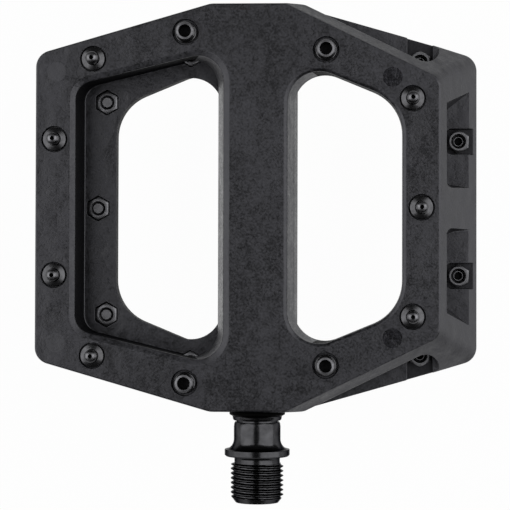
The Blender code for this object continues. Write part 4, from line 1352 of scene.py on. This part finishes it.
class PEDAL_OT_nuts(bpy.types.Operator):
    """Set the nuts that hold the pins from the other side"""
    bl_idname = "pedal.nuts"
    bl_label = "Pin Nuts"

    def execute(self, context):
        sizes = context.scene.pedal_nuts
        finishes = context.scene.pedal_finishes
        steel = oxide_steel("phosphated_nut_steel", finishes.nut_steel, smooth=0.32, rough=0.46)
        insert = moulded_rubber("locking_insert_nylon", finishes.rubber)
        plain = {
            "Flats": sizes.flats,
            "Height": sizes.height,
            "Face radius": sizes.face_radius,
            "Bore radius": sizes.bore_radius,
            "Sink radius": sizes.sink_radius,
            "Sink depth": sizes.sink_depth,
        }
        locking = dict(plain, **{
            "Sink radius": sizes.insert_hole,
            "Collar radius": sizes.collar_radius,
            "Collar height": sizes.collar_height,
            "Insert radius": sizes.insert_radius,
            "Insert drop": sizes.insert_drop,
        })
        # Ledge nuts are held by their seats; slot nuts may have turned a little
        for name, values, in_slot, spin in (
            ("pin_nuts", plain, False, 0.0),
            ("locking_nuts", locking, True, SLOT_NUT_TURN),
        ):
            sites = []
            nodes = []
            for face, turn in (("bottom", 0.0), ("top", math.pi)):
                for site, (x, y, seat) in nut_seats(face).items():
                    if (site in DRILLED_SITES) == in_slot:
                        sites.append((x, y, seat, turn, spin))
                        nodes.append(f"nut_{face}_{site}")
            mesh = set_on_sites(name, nut_tree(name, in_slot), sites, values, steel)
            show(name, mesh, steel, "platform", nodes)
            if in_slot:
                mesh.materials.append(insert)
                for face in mesh.polygons:
                    if sizes.insert_hole < off_axis(face.center, sites) < sizes.insert_radius:
                        face.material_index = mesh.materials.find(insert.name)
        return {"FINISHED"}


def turned_piece(name, rings, steps, hollow=False):
    """Mesh of a piece turned about the spindle's axis, from (radius, y) rings."""
    bm = bmesh.new()
    verts = spun(bm, rings, steps, hollow)
    bmesh.ops.transform(bm, matrix=AXIS_TURN, verts=verts)
    bmesh.ops.translate(bm, vec=(0.0, PLATFORM_Y, 0.0), verts=verts)
    return as_mesh(name, bm)


def thread_rings(sizes):
    """Rings of the crank thread: a right-hand V thread that runs out in a cone at both ends."""
    crest = sizes.thread_radius / MM
    pitch = sizes.thread_pitch / MM
    depth = sizes.thread_depth / MM
    relief = sizes.relief_radius / MM
    end_radius = relief - THREAD_END_STEP
    start_slope = (crest - end_radius) / (THREAD_START_Y - CRANK_END_Y)

    def reach_at(y):
        limit = min(
            end_radius + (y - CRANK_END_Y) * start_slope,
            relief + (THREAD_END_Y - y) * THREAD_RUN_OUT,
        )

        def reach(angle):
            phase = (y / pitch + angle / math.tau) % 1.0
            from_crest = 1 - abs(phase - 0.5) * 2
            fall = (from_crest - THREAD_CREST_SHARE) / (1 - THREAD_CREST_SHARE - THREAD_ROOT_SHARE)
            return min(crest - depth * min(max(fall, 0.0), 1.0), limit)

        return reach

    rows = math.ceil((THREAD_END_Y - CRANK_END_Y) / pitch * THREAD_ROWS_PER_TURN)
    ys = [CRANK_END_Y + (THREAD_END_Y - CRANK_END_Y) * k / rows for k in range(rows + 1)]
    return [(reach_at(y), y) for y in ys]


class PEDAL_OT_spindle(bpy.types.Operator):
    """Turn the spindle: key socket, cut thread, flange, polished shank and journals"""
    bl_idname = "pedal.spindle"
    bl_label = "Spindle"

    def execute(self, context):
        sizes = context.scene.pedal_spindle
        relief = sizes.relief_radius / MM
        flange = sizes.flange_radius / MM
        shank = sizes.shank_radius / MM
        key = partial(hexagon_reach, sizes.key_flats / MM)
        key_floor_y = CRANK_END_Y + KEY_DEPTH
        rings = [
            (lambda angle: key(angle) * KEY_POINT_SHARE, key_floor_y + KEY_POINT_DEPTH),
            (key, key_floor_y),
            (key, CRANK_END_Y + KEY_LEAD),
            (lambda angle: max(key(angle), KEY_LEAD_RADIUS), CRANK_END_Y),
        ]
        rings += thread_rings(sizes)
        for height, setback in quarter(NECK_FILLET, NECK_STEPS):
            rings.append((relief + setback, FLANGE_FACE_Y - NECK_FILLET + height))
        rings += [
            (flange - FLANGE_EDGE, FLANGE_FACE_Y),
            (flange, FLANGE_FACE_Y + FLANGE_EDGE),
            (flange, FLANGE_BACK_Y - FLANGE_BACK_EDGE),
        ]
        for step in range(FILLET_STEPS + 1):
            angle = math.pi / 2 * step / FILLET_STEPS
            rings.append((
                shank + (flange - FLANGE_BACK_EDGE - shank) * (1 - math.sin(angle)),
                FLANGE_BACK_Y + FILLET_LENGTH * (1 - math.cos(angle)),
            ))
        rings += [(shank - setback, SHANK_END_Y - distance) for setback, distance in SHANK_LEAD]
        rings += [(SEAL_LAND_RADIUS, SHANK_END_Y), (SEAL_LAND_RADIUS, SEAL_LAND_END_Y), *JOURNAL]
        mesh = turned_piece("spindle_turned", rings, SPINDLE_STEPS)
        coat = coated_chromoly("black_coated_chromoly", context.scene.pedal_finishes.spindle_black)
        show("spindle_turned", mesh, coat, "spindle", ["spindle"], SPINDLE_SHARP)
        return {"FINISHED"}


class PEDAL_OT_seal_and_plug(bpy.types.Operator):
    """Fit the lip seal at the crank end and the plug at the outer end"""
    bl_idname = "pedal.seal_and_plug"
    bl_label = "Lip Seal and End Plug"

    def execute(self, context):
        finishes = context.scene.pedal_finishes
        collar = context.scene.pedal_spindle.seal_radius / MM
        rings = [*SEAL_BACK, *[(collar - setback, y) for setback, y in SEAL_COLLAR], *SEAL_LIP]
        mesh = turned_piece("lip_seal", rings, SEAL_STEPS, hollow=True)
        rubber = moulded_rubber("moulded_nitrile_rubber", finishes.rubber)
        show("lip_seal", mesh, rubber, "platform", ["inboard_seal"])
        case = coated_chromoly("black_seal_case_steel", finishes.spindle_black)
        mesh.materials.append(case)
        for face in mesh.polygons:
            if face.center.y < (PLATFORM_Y - SEAL_CASE_Y) * MM:
                face.material_index = mesh.materials.find(case.name)

        edge = BEARING_BORE_RADIUS - PLUG_CLEARANCE
        rings = [(edge - setback, y) for setback, y in PLUG_RIM]
        rings += [(partial(hexagon_reach, flats), y) for flats, y in PLUG_KEY]
        mesh = turned_piece("end_plug", rings, PLUG_STEPS)
        show("end_plug", mesh, moulded_nylon("moulded_plug_nylon", finishes), "platform", ["end_cap"])
        return {"FINISHED"}


class PEDAL_OT_bearing(bpy.types.Operator):
    """Finish the bush, the bearing, the washer and the lock nut inside the housing"""
    bl_idname = "pedal.bearing"
    bl_label = "Bush and Bearing"

    def execute(self, context):
        finishes = context.scene.pedal_finishes
        bronze = ground_metal("sintered_bronze", finishes.bronze, rough=0.42)
        bright = ground_metal("ground_bearing_steel", finishes.bearing_steel, rough=0.2)
        zinc = oxide_steel("zinc_plated_steel", finishes.bearing_steel, smooth=0.3, rough=0.42)
        finish_of = {
            "inboard_bush": bronze,
            "bearing_outer_race": bright,
            "bearing_inner_race": bright,
            "bearing_shield_inner": zinc,
            "bearing_shield_outer": zinc,
            "ball_cage": bright,
            "thrust_washer": zinc,
            "lock_nut": zinc,
        }
        for node, finish in finish_of.items():
            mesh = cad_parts[node].data
            mesh.materials.clear()
            mesh.materials.append(finish)
        return {"FINISHED"}


def soft_box(name, power, place, target):
    """Rectangular soft light aimed at a point, unseen by the camera."""
    x, y, height, width, depth = place
    lamp = bpy.data.lights.new(name, "AREA")
    lamp.shape = "RECTANGLE"
    lamp.size = width
    lamp.size_y = depth
    lamp.energy = power
    item = bpy.data.objects.new(name, lamp)
    item.location = (x, target.y + y, height)
    item.rotation_mode = "QUATERNION"
    item.rotation_quaternion = (target - item.location).to_track_quat("-Z", "Y")
    item.visible_camera = False
    bpy.context.scene.collection.objects.link(item)


def floor_paper(tone):
    """Plain paper that shows white to the camera and to metal, and keeps a trace of the pedal's shadow. It
    lights the pedal from below as pale paper does."""
    material = bpy.data.materials.new("pale_floor_paper")
    material.use_nodes = True
    tree = material.node_tree
    tree.nodes.clear()
    path = add(tree, "ShaderNodeLightPath").outputs
    seen = maths(tree, "MAXIMUM", path["Is Camera Ray"], path["Is Glossy Ray"])
    seen = maths(tree, "MAXIMUM", seen, path["Is Transmission Ray"])
    paper = add(tree, "ShaderNodeBsdfDiffuse", {"Color": tone}).outputs[0]
    white = add(tree, "ShaderNodeEmission", {"Color": WHITE, "Strength": 1.0}).outputs[0]
    shaded = add(tree, "ShaderNodeMixShader", {0: FLOOR_SHADOW, 1: white, 2: paper}).outputs[0]
    mixed = add(tree, "ShaderNodeMixShader", {0: seen, 1: paper, 2: shaded}).outputs[0]
    add(tree, "ShaderNodeOutputMaterial", {"Surface": mixed})
    return material


class PEDAL_OT_stage(bpy.types.Operator):
    """Set up the pale floor, the soft boxes and the camera"""
    bl_idname = "pedal.stage"
    bl_label = "Stage"

    def execute(self, context):
        scene = context.scene
        stage = scene.pedal_stage
        middle = Vector((0.0, PLATFORM_Y * MM, 0.0))

        # The floor lies just under the circle that the platform sweeps, so the pedal turns over freely
        bm = bmesh.new()
        bmesh.ops.create_grid(bm, x_segments=1, y_segments=1, size=FLOOR_HALF_SIZE)
        bmesh.ops.translate(bm, vec=(0.0, 0.0, FLOOR_Z * MM), verts=bm.verts[:])
        mesh = bpy.data.meshes.new("floor")
        bm.to_mesh(mesh)
        bm.free()
        mesh.materials.append(floor_paper(scene.pedal_finishes.floor))
        add_object("floor", mesh)

        world = bpy.data.worlds.new("studio")
        world.use_nodes = True
        background = world.node_tree.nodes["Background"]
        feed(world.node_tree, background, {"Color": WHITE, "Strength": WORLD_STRENGTH})
        scene.world = world
        soft_box("soft_box_front", stage.left_light, FRONT_BOX, middle)
        soft_box("soft_box_rear", stage.right_light, REAR_BOX, middle)

        # The pedal is a little tilted towards the camera; the camera takes the opposite tilt
        turn = (
            Matrix.Rotation(stage.image_turn, 4, "Z")
            @ Matrix.Rotation(-stage.pitch_tilt, 4, "X")
            @ Matrix.Rotation(-stage.roll_tilt, 4, "Y")
        )
        offset_x, offset_y = CAMERA_OFFSET
        seat = Matrix.Translation((offset_x * MM, offset_y * MM, stage.camera_distance))
        lens = bpy.data.cameras.new("camera")
        lens.sensor_width = SENSOR_WIDTH
        lens.lens = stage.focal_length
        lens.shift_x, lens.shift_y = LENS_SHIFT
        lens.clip_start = CLIP_START
        lens.clip_end = CLIP_END
        camera = bpy.data.objects.new("camera", lens)
        camera.matrix_world = Matrix.Translation(middle) @ turn.transposed() @ seat
        scene.collection.objects.link(camera)
        scene.camera = camera
        scene.view_settings.view_transform = "Standard"
        return {"FINISHED"}


class PEDAL_PT_looks(bpy.types.Panel):
    """Sidebar panel that lists the pedal's sizes, finishes and steps"""
    bl_idname = "PEDAL_PT_looks"
    bl_label = "Flat Pedal"
    bl_space_type = "VIEW_3D"
    bl_region_type = "UI"
    bl_category = "Pedal"

    def draw(self, context):
        for operator in OPERATORS:
            self.layout.operator(operator.bl_idname)
        for group, kind in GROUPS.items():
            box = self.layout.box()
            box.label(text=kind.__doc__)
            for name in kind.__annotations__:
                box.prop(getattr(context.scene, group), name)


GROUPS = {
    "pedal_platform": PlatformSizes,
    "pedal_pins": PinSizes,
    "pedal_nuts": NutSizes,
    "pedal_spindle": SpindleSizes,
    "pedal_finishes": FinishColours,
    "pedal_stage": StageSettings,
}
OPERATORS = (
    PEDAL_OT_stage,
    PEDAL_OT_platform,
    PEDAL_OT_pins,
    PEDAL_OT_nuts,
    PEDAL_OT_spindle,
    PEDAL_OT_seal_and_plug,
    PEDAL_OT_bearing,
)


def register():
    for kind in (*GROUPS.values(), *OPERATORS, PEDAL_PT_looks):
        bpy.utils.register_class(kind)
    for group, kind in GROUPS.items():
        setattr(bpy.types.Scene, group, PointerProperty(type=kind))


def unregister():
    for group in GROUPS:
        delattr(bpy.types.Scene, group)
    for kind in reversed((*GROUPS.values(), *OPERATORS, PEDAL_PT_looks)):
        bpy.utils.unregister_class(kind)


def main():
    register()
    bpy.ops.pedal.stage()
    bpy.ops.pedal.platform()
    bpy.ops.pedal.pins()
    bpy.ops.pedal.nuts()
    bpy.ops.pedal.spindle()
    bpy.ops.pedal.seal_and_plug()
    bpy.ops.pedal.bearing()


if __name__ == "__main__":
    main()
